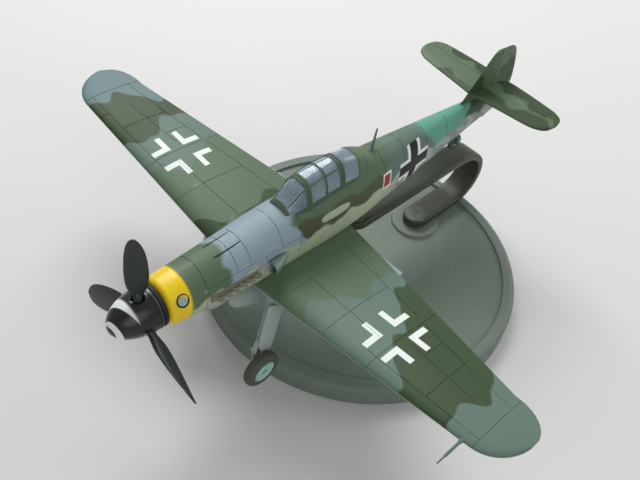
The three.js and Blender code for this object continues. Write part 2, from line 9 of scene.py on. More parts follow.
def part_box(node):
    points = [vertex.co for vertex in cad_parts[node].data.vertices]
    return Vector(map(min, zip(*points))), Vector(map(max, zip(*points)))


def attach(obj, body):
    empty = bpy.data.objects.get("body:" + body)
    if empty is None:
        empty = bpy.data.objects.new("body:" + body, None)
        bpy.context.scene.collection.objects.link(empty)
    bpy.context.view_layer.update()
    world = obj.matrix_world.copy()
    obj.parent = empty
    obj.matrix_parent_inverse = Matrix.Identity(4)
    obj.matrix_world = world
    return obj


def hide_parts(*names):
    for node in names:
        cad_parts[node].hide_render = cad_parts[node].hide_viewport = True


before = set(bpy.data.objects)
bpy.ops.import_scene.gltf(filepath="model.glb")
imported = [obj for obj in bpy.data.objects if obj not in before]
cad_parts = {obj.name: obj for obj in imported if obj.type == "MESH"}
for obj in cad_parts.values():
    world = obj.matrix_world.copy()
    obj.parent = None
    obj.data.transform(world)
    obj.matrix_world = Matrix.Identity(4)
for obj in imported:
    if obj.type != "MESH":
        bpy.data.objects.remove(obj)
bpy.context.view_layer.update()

scene = bpy.context.scene
scene.view_settings.view_transform = "Standard"
mm = 0.001

# The aircraft's own millimetres: x to port, y aft from the nose face, z up from the propeller's axis.
shaftLow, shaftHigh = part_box("prop_shaft")
nose = Vector((0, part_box("nose_cowl_ring")[0].y, (shaftLow.z + shaftHigh.z) / 2))
toFrame = Matrix.Translation(nose) @ Matrix.Scale(mm, 4)


def modelBox(node):
    low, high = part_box(node)
    return (low - nose) / mm, (high - nose) / mm


print("frame loaded")

# camera
cameraSetup = {"from": (85.0, -60.5, 130.8), "aim": (2.0, 45.0, -10.0), "roll": 10.4, "lens": 47.0}


def makeCamera(setup):
    data = bpy.data.cameras.new("camera")
    data.lens = setup["lens"]
    data.clip_start, data.clip_end = 0.01, 20
    eye, aim = toFrame @ Vector(setup["from"]), toFrame @ Vector(setup["aim"])
    turn = (aim - eye).to_track_quat("-Z", "Y").to_matrix().to_4x4()
    camera = bpy.data.objects.new("camera", data)
    camera.matrix_world = Matrix.Translation(eye) @ turn @ Matrix.Rotation(math.radians(setup["roll"]), 4,
        "Z")
    scene.collection.objects.link(camera)
    scene.camera = camera


makeCamera(cameraSetup)


# node helpers
def paintColor(red, green, blue):
    # 0 to 255 as a paint chart gives it, to the linear colour that the shader wants
    return tuple(((c / 255 + 0.055) / 1.055) ** 2.4 for c in (red, green, blue)) + (1,)


def addNode(tree, kind, values=None, **settings):
    node = tree.nodes.new("ShaderNode" + kind)
    for key, value in settings.items():
        setattr(node, key, value)
    for key, value in (values or {}).items():
        if isinstance(value, bpy.types.NodeSocket):
            tree.links.new(value, node.inputs[key])
        else:
            node.inputs[key].default_value = value
    return node


def calc(tree, operation, *values, clamp=False):
    node = addNode(tree, "Math", dict(enumerate(values)), operation=operation, use_clamp=clamp)
    return node.outputs[0]


def mixColor(tree, share, first, second, how="MIX"):
    node = addNode(tree, "Mix", {0: share, 6: first, 7: second}, data_type="RGBA", blend_type=how)
    return node.outputs[2]


def newGroup(name, inputs, outputs):
    tree = bpy.data.node_groups.new(name, "ShaderNodeTree")
    for label, kind, value in inputs:
        socket = tree.interface.new_socket(label, in_out="INPUT", socket_type="NodeSocket" + kind)
        if value is not None:
            socket.default_value = value
    for label, kind in outputs:
        tree.interface.new_socket(label, in_out="OUTPUT", socket_type="NodeSocket" + kind)
    return tree, tree.nodes.new("NodeGroupInput").outputs, tree.nodes.new("NodeGroupOutput").inputs


def placeGroup(tree, group, values):
    node = tree.nodes.new("ShaderNodeGroup")
    node.node_tree = group
    for key, value in values.items():
        if isinstance(value, bpy.types.NodeSocket):
            tree.links.new(value, node.inputs[key])
        else:
            node.inputs[key].default_value = value
    return node.outputs


# shared effects
def makeModelPosition():
    # Object coordinates turned into the aircraft's millimetres
    tree, given, made = newGroup("modelPosition", [],
                                 [("Position", "Vector"), ("X", "Float"), ("Y", "Float"), ("Z", "Float")])
    source = addNode(tree, "TexCoord").outputs["Object"]
    place = addNode(tree, "Mapping",
                    {"Vector": source, "Location": -nose / mm, "Scale": (1 / mm,) * 3}).outputs[0]
    split = addNode(tree, "SeparateXYZ", {0: place}).outputs
    tree.links.new(place, made["Position"])
    for label in "XYZ":
        tree.links.new(split[label], made[label])
    return tree


def makePaintSkin():
    # sprayed paint: cloudy tone, fine grain, ink in the panel lines, paler rubbed edges
    tree, given, made = newGroup("paintSkin", [
        ("Color", "Color", (0.5, 0.5, 0.5, 1)), ("Ink", "Color", (0.01, 0.011, 0.01, 1)),
        ("Rubbed", "Color", (0.5, 0.5, 0.48, 1)),
        ("Cloud", "Float", 0.18), ("Grain", "Float", 0.1), ("Wear", "Float", 0.3), ("Gloss", "Float", 0.58),
        ("InkShare", "Float", 0.92)],
        [("Color", "Color"), ("Roughness", "Float"), ("Height", "Float")])
    source = addNode(tree, "TexCoord").outputs["Object"]
    cloud = addNode(tree, "TexNoise",
                    {"Vector": source, "Scale": 90, "Detail": 4, "Roughness": 0.6}).outputs[0]
    grain = addNode(tree, "TexNoise", {"Vector": source, "Scale": 2600, "Detail": 2}).outputs[0]
    shade = calc(tree, "MULTIPLY_ADD", calc(tree, "SUBTRACT", cloud, 0.5), given["Cloud"], 1.0)
    fine = calc(tree, "MULTIPLY_ADD", calc(tree, "SUBTRACT", grain, 0.5), given["Grain"], shade)
    toned = addNode(tree, "VectorMath", {0: given["Color"], "Scale": fine}, operation="SCALE").outputs[0]
    ink = addNode(tree, "Attribute", attribute_name="ink").outputs["Fac"]
    inked = mixColor(tree, calc(tree, "MULTIPLY", ink, given["InkShare"], clamp=True), toned, given["Ink"])
    edge = addNode(tree, "NewGeometry").outputs["Pointiness"]
    raised = addNode(tree, "MapRange", {0: edge, 1: 0.53, 2: 0.62}).outputs[0]
    patchy = calc(tree, "MULTIPLY", raised,
                  addNode(tree, "MapRange", {0: cloud, 1: 0.45, 2: 0.65}).outputs[0])
    tree.links.new(mixColor(tree, calc(tree, "MULTIPLY", patchy, given["Wear"]), inked, given["Rubbed"]),
                   made["Color"])
    rough = calc(tree, "MULTIPLY_ADD", cloud, 0.16, calc(tree, "SUBTRACT", given["Gloss"], 0.08))
    tree.links.new(calc(tree, "MULTIPLY_ADD", ink, 0.25, rough, clamp=True), made["Roughness"])
    tree.links.new(calc(tree, "MULTIPLY_ADD", grain, 0.4, cloud), made["Height"])
    return tree


def makeWaveEdge():
    # 0 before a wavy border and 1 behind it, along one direction
    tree, given, made = newGroup("waveEdge", [
        ("Along", "Float", 0), ("Across", "Float", 0), ("Place", "Float", 0), ("Slant", "Float", 0),
        ("Wave", "Float", 2), ("Pitch", "Float", 20), ("Phase", "Float", 0), ("Soft", "Float", 0.5)],
        [("Mask", "Float")])
    turn = calc(tree, "MULTIPLY_ADD", calc(tree, "DIVIDE", given["Across"], given["Pitch"]), 2 * math.pi,
                given["Phase"])
    swing = calc(tree, "MULTIPLY", calc(tree, "SINE", turn), given["Wave"])
    second = calc(tree, "MULTIPLY", calc(tree, "SINE", calc(tree, "MULTIPLY", turn, 2.3)),
                  calc(tree, "MULTIPLY", given["Wave"], 0.35))
    line = calc(tree, "MULTIPLY_ADD", given["Across"], given["Slant"],
                calc(tree, "ADD", given["Place"], calc(tree, "ADD", swing, second)))
    away = calc(tree, "DIVIDE", calc(tree, "SUBTRACT", given["Along"], line), given["Soft"])
    tree.links.new(calc(tree, "ADD", away, 0.5, clamp=True), made["Mask"])
    return tree


def makeCornerMarks():
    # four right angles round a centre, and the bars of a cross between them
    tree, given, made = newGroup("cornerMarks", [
        ("U", "Float", 0), ("V", "Float", 0), ("Gap", "Float", 1.7), ("Reach", "Float", 6.3),
        ("Stroke", "Float", 1.4)],
        [("Angles", "Float"), ("Cross", "Float")])
    a, b = (calc(tree, "ABSOLUTE", given[k]) for k in "UV")
    low, high = calc(tree, "MINIMUM", a, b), calc(tree, "MAXIMUM", a, b)
    crisp = 9.0  # how fast the paint edge falls off, per millimetre

    def under(value, limit):
        return calc(tree, "MULTIPLY_ADD", calc(tree, "SUBTRACT", limit, value), crisp, 0.5, clamp=True)

    inside = under(high, given["Reach"])
    outer = under(low, calc(tree, "ADD", given["Gap"], given["Stroke"]))
    bar = under(low, given["Gap"])
    angles = calc(tree, "MULTIPLY", calc(tree, "MULTIPLY", inside, outer), calc(tree, "SUBTRACT", 1, bar))
    tree.links.new(angles, made["Angles"])
    tree.links.new(calc(tree, "MULTIPLY", bar, inside), made["Cross"])
    return tree


modelPosition = makeModelPosition()
paintSkin = makePaintSkin()
waveEdge = makeWaveEdge()
cornerMarks = makeCornerMarks()

# paints
tones = {
    "darkGreen": paintColor(49, 69, 37), "greyGreen": paintColor(90, 112, 100),
    "nearRoot": paintColor(84, 105, 80),
    "tipBlue": paintColor(94, 118, 119), "deckBlue": paintColor(138, 156, 165),
    "sidePale": paintColor(168, 177, 150),
    "mottle": paintColor(72, 78, 52), "teal": paintColor(88, 152, 130), "under": paintColor(150, 166, 160),
    "white": paintColor(222, 228, 222), "black": paintColor(24, 25, 24), "red": paintColor(160, 38, 34),
}


def newMaterial(name, rough=0.45, **values):
    material = bpy.data.materials.new(name)
    material.use_nodes = True
    tree = material.node_tree
    shader = tree.nodes["Principled BSDF"]
    shader.inputs["Roughness"].default_value = rough
    for key, value in values.items():
        shader.inputs[key.replace("_", " ")].default_value = value
    return material, tree, shader


def paintOver(tree, shader, color, bump=0.06, coat=0.0, **skin):
    # color is a socket or a fixed tone; the paint skin gives it grain, ink and wear
    made = placeGroup(tree, paintSkin, {"Color": color, **skin})
    height = addNode(tree, "Bump", {"Height": made["Height"], "Strength": bump, "Distance": 0.0002})
    tree.links.new(made["Color"], shader.inputs["Base Color"])
    tree.links.new(made["Roughness"], shader.inputs["Roughness"])
    tree.links.new(height.outputs[0], shader.inputs["Normal"])
    shader.inputs["Coat Weight"].default_value = coat
    shader.inputs["Coat Roughness"].default_value = 0.25
    shader.inputs["Specular IOR Level"].default_value = 0.3


def plainPaint(name, tone, **settings):
    material, tree, shader = newMaterial(name)
    paintOver(tree, shader, tone, **settings)
    return material


def camoBands(tree, start, bands):
    # bands follow each other: each border lays its tone over all before it
    color = start
    for along, across, tone, border in bands:
        mask = placeGroup(tree, waveEdge, {"Along": along, "Across": across, **border})["Mask"]
        color = mixColor(tree, mask, color, tone)
    return color


def wingPaint():
    material, tree, shader = newMaterial("wingCamouflage")
    place = placeGroup(tree, modelPosition, {})
    x, y = place["X"], place["Y"]
    port = camoBands(tree, tones["nearRoot"], [
        (x, y, tones["greyGreen"], {"Place": 13, "Slant": 0.22, "Wave": 2.2, "Pitch": 17, "Phase": 0.6}),
        (x, y, tones["darkGreen"], {"Place": 61.5, "Slant": -0.78, "Wave": 1.6, "Pitch": 12, "Phase": 1.0}),
        (x, y, tones["greyGreen"], {"Place": 58.6, "Slant": -0.09, "Wave": 2.1, "Pitch": 15, "Phase": 5.6}),
    ])
    away = calc(tree, "MULTIPLY", x, -1)
    starboard = camoBands(tree, tones["darkGreen"], [
        (away, y, tones["nearRoot"], {"Place": 18, "Slant": -0.15, "Wave": 2.6, "Pitch": 22, "Phase": 2.0}),
        (away, y, tones["greyGreen"], {"Place": 29, "Slant": 0.1, "Wave": 2.4, "Pitch": 19, "Phase": 0.2}),
        (away, y, tones["darkGreen"], {"Place": 36.5, "Slant": 0.24, "Wave": 1.8, "Pitch": 14, "Phase": 3.6}),
        (away, y, tones["tipBlue"], {"Place": 71.5, "Slant": -0.42, "Wave": 1.9, "Pitch": 13, "Phase": 4.4}),
    ])
    color = mixColor(tree, calc(tree, "GREATER_THAN", x, 0), starboard, port)
    side = calc(tree, "SUBTRACT", calc(tree, "ABSOLUTE", x), wingMarks["x"])
    marks = placeGroup(tree, cornerMarks, {
        "U": side, "V": calc(tree, "SUBTRACT", y, wingMarks["y"]), "Gap": wingMarks["gap"],
        "Reach": wingMarks["reach"], "Stroke": wingMarks["stroke"]})
    paintOver(tree, shader, mixColor(tree, marks["Angles"], color, tones["white"]), coat=0.05, InkShare=0.3)
    return material


wingMarks = {"x": 34.8, "y": 33.4, "gap": 1.8, "reach": 6.6, "stroke": 1.45}
sideMarks = {"y": 72.2, "z": 1.2, "gap": 1.45, "reach": 5.6, "stroke": 1.0}


def fuselagePaint():
    material, tree, shader = newMaterial("fuselageCamouflage")
    place = placeGroup(tree, modelPosition, {})
    x, y, z = place["X"], place["Y"], place["Z"]
    # the deck, from the nose aft
    deck = camoBands(tree, tones["nearRoot"], [
        (y, z, tones["deckBlue"],
            {"Place": 13.5, "Slant": 0.35, "Wave": 1.1, "Pitch": 7, "Phase": 0.4, "Soft": 1.2}),
        (y, z, tones["nearRoot"],
            {"Place": 35.5, "Slant": -0.3, "Wave": 1.6, "Pitch": 9, "Phase": 1.0, "Soft": 1.4}),
        (y, z, tones["greyGreen"],
            {"Place": 60.5, "Slant": 0.2, "Wave": 1.6, "Pitch": 8, "Phase": 2.0, "Soft": 1.5}),
        (y, z, tones["teal"], {"Place": 80.5, "Slant": -0.3, "Wave": 1.4, "Pitch": 9, "Phase": 0.0, "Soft": 1.6}),
        (y, z, tones["darkGreen"],
            {"Place": 95.0, "Slant": 0.3, "Wave": 1.2, "Pitch": 7, "Phase": 1.4, "Soft": 1.5}),
    ])
    # the pale side reaches up to a wavy line that rises towards the tail
    flank = camoBands(tree, tones["sidePale"], [
        (y, z, tones["under"], {"Place": 66, "Slant": 0.5, "Wave": 1.5, "Pitch": 10, "Soft": 5}),
    ])
    spots = addNode(tree, "TexNoise",
                    {"Vector": place["Position"], "Scale": 0.24, "Detail": 1.5, "Roughness": 0.4}).outputs[0]
    spotMask = addNode(tree, "MapRange", {0: spots, 1: 0.52, 2: 0.58}).outputs[0]
    aft = placeGroup(tree, waveEdge,
                     {"Along": y, "Across": z, "Place": 64, "Wave": 0.5, "Pitch": 9, "Soft": 8})["Mask"]
    flank = mixColor(tree, calc(tree, "MULTIPLY", calc(tree, "MULTIPLY", spotMask, aft), 0.45), flank,
                     tones["mottle"])
    split = placeGroup(tree, waveEdge, {
        "Along": z, "Across": y, "Place": -0.9, "Slant": 0.035, "Wave": 0.7, "Pitch": 9.5, "Phase": 0.8,
        "Soft": 0.7})["Mask"]
    color = mixColor(tree, split, flank, deck)
    # a dark olive belt under the canopy, with one pale patch in it
    beltTop = placeGroup(tree, waveEdge,
                         {"Along": z, "Across": y, "Place": 4.6, "Wave": 0.5, "Pitch": 11,
                          "Soft": 0.7})["Mask"]
    beltFoot = placeGroup(tree, waveEdge,
                          {"Along": z, "Across": y, "Place": 0.9, "Wave": 0.7, "Pitch": 8.3, "Phase": 2.2,
                           "Soft": 0.6})["Mask"]
    beltStart = placeGroup(tree, waveEdge,
                           {"Along": y, "Across": z, "Place": 33.5, "Wave": 0.6, "Pitch": 6,
                            "Soft": 0.8})["Mask"]
    beltEnd = placeGroup(tree, waveEdge,
                         {"Along": y, "Across": z, "Place": 60.5, "Wave": 1.2, "Pitch": 7,
                          "Soft": 0.9})["Mask"]
    belt = calc(tree, "MULTIPLY", calc(tree, "SUBTRACT", beltFoot, beltTop, clamp=True),
                calc(tree, "SUBTRACT", beltStart, beltEnd, clamp=True))
    color = mixColor(tree, belt, color, tones["mottle"])
    patchY = calc(tree, "DIVIDE", calc(tree, "SUBTRACT", y, 44), 4.3)
    patchZ = calc(tree, "DIVIDE", calc(tree, "SUBTRACT", z, 2.9), 1.0)
    reach = calc(tree, "ADD", calc(tree, "POWER", calc(tree, "ABSOLUTE", patchY), 3),
                 calc(tree, "POWER", calc(tree, "ABSOLUTE", patchZ), 3))
    patch = addNode(tree, "MapRange", {0: reach, 1: 1.25, 2: 0.8}).outputs[0]
    color = mixColor(tree, patch, color, tones["sidePale"])
    marks = placeGroup(tree, cornerMarks, {
        "U": calc(tree, "SUBTRACT", y, sideMarks["y"]), "V": calc(tree, "SUBTRACT", z, sideMarks["z"]),
        "Gap": sideMarks["gap"], "Reach": sideMarks["reach"], "Stroke": sideMarks["stroke"]})
    color = mixColor(tree, marks["Angles"], mixColor(tree, marks["Cross"], color, tones["black"]),
                     tones["white"])
    # a plain red block with a white border ahead of the cross
    away = [calc(tree, "ABSOLUTE", calc(tree, "SUBTRACT", s, c)) for s, c in ((y, 61.6), (z, 2.2))]
    ring = calc(tree, "MAXIMUM", calc(tree, "MULTIPLY", away[0], 1.5), away[1])
    border = addNode(tree, "MapRange", {0: ring, 1: 2.3, 2: 2.15}).outputs[0]
    core = addNode(tree, "MapRange", {0: ring, 1: 1.75, 2: 1.6}).outputs[0]
    color = mixColor(tree, core, mixColor(tree, border, color, tones["white"]), tones["red"])
    paintOver(tree, shader, color, coat=0.05, InkShare=0.85)
    return material


def tailPaint():
    material, tree, shader = newMaterial("tailCamouflage")
    place = placeGroup(tree, modelPosition, {})
    x, y, z = place["X"], place["Y"], place["Z"]
    color = camoBands(tree, tones["darkGreen"], [
        (y, x, tones["nearRoot"], {"Place": 100.5, "Slant": 0.16, "Wave": 1.3, "Pitch": 13, "Soft": 0.8}),
        (y, x, tones["darkGreen"],
            {"Place": 106.5, "Slant": -0.1, "Wave": 1.1, "Pitch": 9, "Phase": 1, "Soft": 0.8}),
    ])
    low = placeGroup(tree, waveEdge,
                     {"Along": z, "Across": y, "Place": 4.0, "Wave": 0.8, "Pitch": 6, "Soft": 1.0})["Mask"]
    tall = placeGroup(tree, waveEdge,
                      {"Along": z, "Across": y, "Place": 13.0, "Wave": 0.8, "Pitch": 7, "Phase": 1.7,
                       "Soft": 1.0})["Mask"]
    color = mixColor(tree, low, tones["under"], mixColor(tree, tall, color, tones["nearRoot"]))
    paintOver(tree, shader, color, coat=0.05)
    return material


def spinnerPaint():
    # one white turn winding out from the tip over black
    material, tree, shader = newMaterial("spinnerSpiral")
    place = placeGroup(tree, modelPosition, {})
    angle = calc(tree, "DIVIDE", calc(tree, "ARCTAN2", place["X"], place["Z"]), 2 * math.pi)
    radius = calc(tree, "SQRT",
        calc(tree, "ADD", calc(tree, "POWER", place["X"], 2), calc(tree, "POWER", place["Z"], 2)))
    turns = calc(tree, "SUBTRACT", calc(tree, "DIVIDE", radius, 2.9), angle)
    winding = calc(tree, "ABSOLUTE", calc(tree, "SUBTRACT", calc(tree, "FRACT", turns), 0.5))
    white = addNode(tree, "MapRange", {0: winding, 1: 0.2, 2: 0.17}).outputs[0]
    inside = addNode(tree, "MapRange", {0: radius, 1: 4.35, 2: 4.2}).outputs[0]
    away = addNode(tree, "MapRange", {0: radius, 1: 0.9, 2: 1.05}).outputs[0]
    mask = calc(tree, "MULTIPLY", calc(tree, "MULTIPLY", white, inside), away)
    paintOver(tree, shader, mixColor(tree, mask, tones["black"], tones["white"]), coat=0.3, Gloss=0.3)
    return material


def steelMaterial(name, tone, rough):
    material, tree, shader = newMaterial(name, Metallic=1.0)
    source = addNode(tree, "TexCoord").outputs["Object"]
    drawn = addNode(tree, "Mapping", {"Vector": source, "Scale": (400, 4000, 400)}).outputs[0]
    lines = addNode(tree, "TexNoise", {"Vector": drawn, "Scale": 1, "Detail": 3}).outputs[0]
    tint = mixColor(tree, lines, tone, tuple(c * 0.6 for c in tone[:3]) + (1,))
    tree.links.new(tint, shader.inputs["Base Color"])
    tree.links.new(calc(tree, "MULTIPLY_ADD", lines, 0.25, rough), shader.inputs["Roughness"])
    return material


def glassMaterial():
    # the canopy glass: its pale blue base colour is partly a faint tint of the clear plastic and partly a painted
    # sheen, since the diffuse share stands in for sky reflected on the glass
    material, tree, shader = newMaterial("clearCanopy", rough=0.08, Transmission_Weight=0.78, IOR=1.42)
    source = addNode(tree, "TexCoord").outputs["Object"]
    # noise that makes the painted sheen patchy
    sheenPatches = addNode(tree, "TexNoise", {"Vector": source, "Scale": 160, "Detail": 1}).outputs[0]
    tint = mixColor(tree, sheenPatches, paintColor(196, 220, 236), paintColor(214, 234, 244))
    tree.links.new(tint, shader.inputs["Base Color"])
    return material


def mouldedPlastic(name, tone, gloss=0.5, speckle=0.5):
    # fine spark-eroded texture with paler scuffed edges
    material, tree, shader = newMaterial(name)
    source = addNode(tree, "TexCoord").outputs["Object"]
    pits = addNode(tree, "TexVoronoi", {"Vector": source, "Scale": 2200}).outputs["Distance"]
    paintOver(tree, shader, tone, bump=0.15, Grain=0.35 * speckle, Cloud=0.3, Wear=0.5, Gloss=gloss,
              Rubbed=paintColor(140, 146, 138))
    relief = addNode(tree, "Bump", {"Height": pits, "Strength": 0.25 * speckle, "Distance": 0.0001})
    tree.links.new(shader.inputs["Normal"].links[0].from_socket, relief.inputs["Normal"])
    tree.links.new(relief.outputs[0], shader.inputs["Normal"])
    return material


def rubberMaterial():
    material, tree, shader = newMaterial("tyreRubber", rough=0.8)
    paintOver(tree, shader, paintColor(76, 82, 68), bump=0.2, Grain=0.3, Cloud=0.35, Wear=0.25, Gloss=0.78,
              Rubbed=paintColor(96, 104, 92))
    return material


paints = {
    "wing": wingPaint(), "fuselage": fuselagePaint(), "tail": tailPaint(), "spinner": spinnerPaint(),
    "under": plainPaint("underPaint", tones["under"], coat=0.1),
    "yellow": plainPaint("nosePaint", paintColor(232, 198, 24), coat=0.2, Cloud=0.12,
                         Rubbed=paintColor(240, 225, 150), Gloss=0.36),
    "blade": plainPaint("bladePaint", paintColor(34, 42, 34), coat=0.15, Rubbed=paintColor(110, 118, 110),
                        Wear=0.5, Gloss=0.38),
    "hub": plainPaint("hubPaint", paintColor(152, 190, 180), Wear=0.4),
    "frame": plainPaint("canopyFramePaint", paintColor(74, 90, 70), Cloud=0.1),
    "trim": plainPaint("trimPaint", tones["greyGreen"], Cloud=0.1),
    "exhaust": plainPaint("burntPaint", paintColor(118, 118, 98), Cloud=0.25, Grain=0.3, Gloss=0.7,
                          Rubbed=paintColor(134, 130, 112), Wear=0.3),
    "cockpit": plainPaint("cockpitPaint", paintColor(70, 78, 76), Cloud=0.2, Gloss=0.6),
    "dark": plainPaint("mattBlack", paintColor(26, 28, 28), Cloud=0.3, Gloss=0.65,
                       Rubbed=paintColor(90, 92, 90)),
    "seat": plainPaint("seatPaint", paintColor(96, 74, 52), Cloud=0.3, Gloss=0.7),
    "webbing": plainPaint("harnessWebbing", paintColor(176, 164, 132), Grain=0.5, Gloss=0.8),
    "dial": plainPaint("dialFace", paintColor(206, 210, 204), Gloss=0.4),
    "steel": steelMaterial("turnedSteel", (0.6, 0.6, 0.61, 1), 0.22),
    "glass": glassMaterial(), "rubber": rubberMaterial(),
    # the stand's tone is partly its own dark grey-green plastic and partly a painted pale reflection, which makes
    # it lighter than the bare plastic
    "stand": mouldedPlastic("standPlasticPaintedReflection", paintColor(106, 118, 108), 0.5, 0.9),
    "arm": mouldedPlastic("armPlastic", paintColor(56, 62, 50), 0.42, 0.3),
    "cover": mouldedPlastic("coverPlastic", paintColor(44, 46, 44), 0.6, 1.2),
}
print("paints mixed")

# shaping helpers, all in the aircraft's millimetres
weld = 0.002          # points closer than this are one
panelLine = {"width": 0.2, "depth": 0.09}
hairGap = 0.03        # gap between glued pieces


def smoothCurve(points):
    # a smooth curve through (place, value, value...) rows that never overshoots them
    places = [p[0] for p in points]
    rows = [p[1:] for p in points]

    def slope(i, k):
        if i == 0 or i == len(rows) - 1:
            return 0 if len(rows) < 3 else steep(min(i, len(rows) - 2), k)
        before, after = steep(i - 1, k), steep(i, k)
        return 0 if before * after <= 0 else 2 * before * after / (before + after)

    def steep(i, k):
        return (rows[i + 1][k] - rows[i][k]) / (places[i + 1] - places[i])

    def at(place):
        place = min(max(place, places[0]), places[-1])
        i = max(j for j in range(len(places) - 1) if places[j] <= place)
        span = places[i + 1] - places[i]
        t = (place - places[i]) / span
        made = []
        for k in range(len(rows[0])):
            a, b = rows[i][k], rows[i + 1][k]
            da, db = slope(i, k) * span, slope(i + 1, k) * span
            made.append(a + da * t + (3 * (b - a) - 2 * da - db) * t ** 2 + (2 * (a - b) + da + db) * t ** 3)
        return made

    return at


def surface(columns, rows, pointAt):
    # a grid laid over a surface; pointAt takes two shares, each 0 to 1
    mesh = bmesh.new()
    bmesh.ops.create_grid(mesh, x_segments=columns, y_segments=rows, size=0.5)
    for vert in mesh.verts:
        vert.co = Vector(pointAt(vert.co.x + 0.5, vert.co.y + 0.5))
    bmesh.ops.remove_doubles(mesh, verts=mesh.verts[:], dist=weld)
    return mesh


def closeUp(mesh):
    bmesh.ops.holes_fill(mesh, edges=[e for e in mesh.edges if e.is_boundary], sides=0)
    bmesh.ops.recalc_face_normals(mesh, faces=mesh.faces[:])
    return mesh


def roundEdges(mesh, width, segments=2, angle=30):
    sharp = [e for e in mesh.edges if e.is_manifold and e.calc_face_angle() > math.radians(angle)]
    bmesh.ops.bevel(mesh, geom=sharp, offset=width, offset_type="OFFSET", affect="EDGES",
                    segments=segments, profile=0.5, material=-1, clamp_overlap=True)
    return mesh


def block(low, high, soften=0.12, segments=2):
    mesh = bmesh.new()
    size = Vector(high) - Vector(low)
    place = Matrix.Translation((Vector(high) + Vector(low)) / 2) @ Matrix.Diagonal((*size, 1))
    bmesh.ops.create_cube(mesh, size=1, matrix=place)
    return roundEdges(mesh, min(soften, min(size) * 0.3), segments)


def rod(start, end, r0, r1=None, sides=24, soften=0.0):
    mesh = bmesh.new()
    start, end = Vector(start), Vector(end)
    turn = (end - start).to_track_quat("Z", "Y").to_matrix().to_4x4()
    bmesh.ops.create_cone(mesh, cap_ends=True, segments=sides, radius1=r0, radius2=r0 if r1 is None else r1,
                          depth=(end - start).length, matrix=Matrix.Translation((start + end) / 2) @ turn)
    return roundEdges(mesh, soften, 2, 60) if soften else mesh


def turned(profile, centre, axis, steps=64, closed=False):
    # (radius, place along the axis) points spun round an axis through centre
    mesh = bmesh.new()
    axis = Vector(axis).normalized()
    out = axis.orthogonal().normalized()
    verts = [mesh.verts.new(Vector(centre) + out * r + axis * s) for r, s in profile]
    edges = [mesh.edges.new(pair) for pair in zip(verts, verts[1:] + (verts[:1] if closed else []))]
    bmesh.ops.spin(mesh, geom=verts + edges, cent=Vector(centre), axis=axis, angle=2 * math.pi, steps=steps,
                   use_merge=True)
    bmesh.ops.remove_doubles(mesh, verts=mesh.verts[:], dist=weld)
    return closeUp(mesh)


def plate(outline, thick, axes, soften=0.1, segments=2):
    # an outline drawn along the first two axes and given its thickness along the third
    mesh = bmesh.new()
    first, second, third = (Vector(a) for a in axes)
    face = mesh.faces.new([mesh.verts.new(first * a + second * b - third * thick / 2) for a, b in outline])
    made = bmesh.ops.extrude_face_region(mesh, geom=[face])["geom"]
    bmesh.ops.translate(mesh, verts=[g for g in made if isinstance(g, bmesh.types.BMVert)], vec=third * thick)
    bmesh.ops.recalc_face_normals(mesh, faces=mesh.faces[:])
    return roundEdges(mesh, soften, segments, 50) if soften else mesh


def tailSurface(sharp, blunt, low, high, thick, profile, tip, toPlace):
    # a section swept along a span: sharp and blunt give its two edges, and profile its half thickness
    def pointAt(along, around):
        share = 1 - (1 - along) ** 1.7
        place = low + (high - low) * share
        side = 1 if around < 0.5 else -1
        c = (1 - math.cos(min(1, 2 * min(around, 1 - around)) * math.pi)) / 2
        near = max(0, (share - 1 + tip) / tip)
        half = thick / 2 * profile(c) * math.sqrt(1 - 0.9 * near ** 2)
        edge, back = sharp(place)[0], blunt(place)[0]
        return toPlace(place, edge + (back - edge) * c, side * half)

    return closeUp(surface(44, 41, pointAt))


def thicken(mesh, wall):
    # a wall grown inwards along each point's own normal
    inward = mesh.verts.layers.float_vector.new("inward")
    mesh.normal_update()
    for vert in mesh.verts:
        vert[inward] = vert.normal
    made = bmesh.ops.extrude_face_region(mesh, geom=mesh.faces[:], use_keep_orig=True)["geom"]
    for vert in (g for g in made if isinstance(g, bmesh.types.BMVert)):
        vert.co -= vert[inward] * wall
    bmesh.ops.recalc_face_normals(mesh, faces=mesh.faces[:])
    mesh.verts.layers.float_vector.remove(inward)
    return mesh


def moved(mesh, offset=(0, 0, 0), turn=0, axis="Y", about=(0, 0, 0)):
    place = Matrix.Translation(Vector(about)) @ Matrix.Rotation(turn, 4,
                                                                axis) @ Matrix.Translation(-Vector(about))
    mesh.transform(Matrix.Translation(Vector(offset)) @ place)
    return mesh


def together(*parts):
    whole = bmesh.new()
    for part in parts:
        data = bpy.data.meshes.new("part")
        part.to_mesh(data)
        part.free()
        whole.from_mesh(data)
        bpy.data.meshes.remove(data)
    return whole


def mirrored(mesh):
    # the same piece for the other side
    mesh.transform(Matrix.Scale(-1, 4, Vector((1, 0, 0))))
    bmesh.ops.reverse_faces(mesh, faces=mesh.faces[:])
    return mesh


def carve(mesh, *tools, how="DIFFERENCE"):
    # one closed shape cut out of another
    def asObject(shape):
        data = bpy.data.meshes.new("carve")
        shape.to_mesh(data)
        shape.free()
        thing = bpy.data.objects.new("carve", data)
        scene.collection.objects.link(thing)
        return thing

    body = asObject(mesh)
    knives = [asObject(t) for t in tools]
    for knife in knives:
        change = body.modifiers.new("cut", "BOOLEAN")
        change.object, change.operation, change.solver = knife, how, "EXACT"
    evaluated = body.evaluated_get(bpy.context.evaluated_depsgraph_get())
    made = bmesh.new()
    made.from_mesh(evaluated.to_mesh())
    evaluated.to_mesh_clear()
    for thing in [body, *knives]:
        bpy.data.objects.remove(thing)
    return made


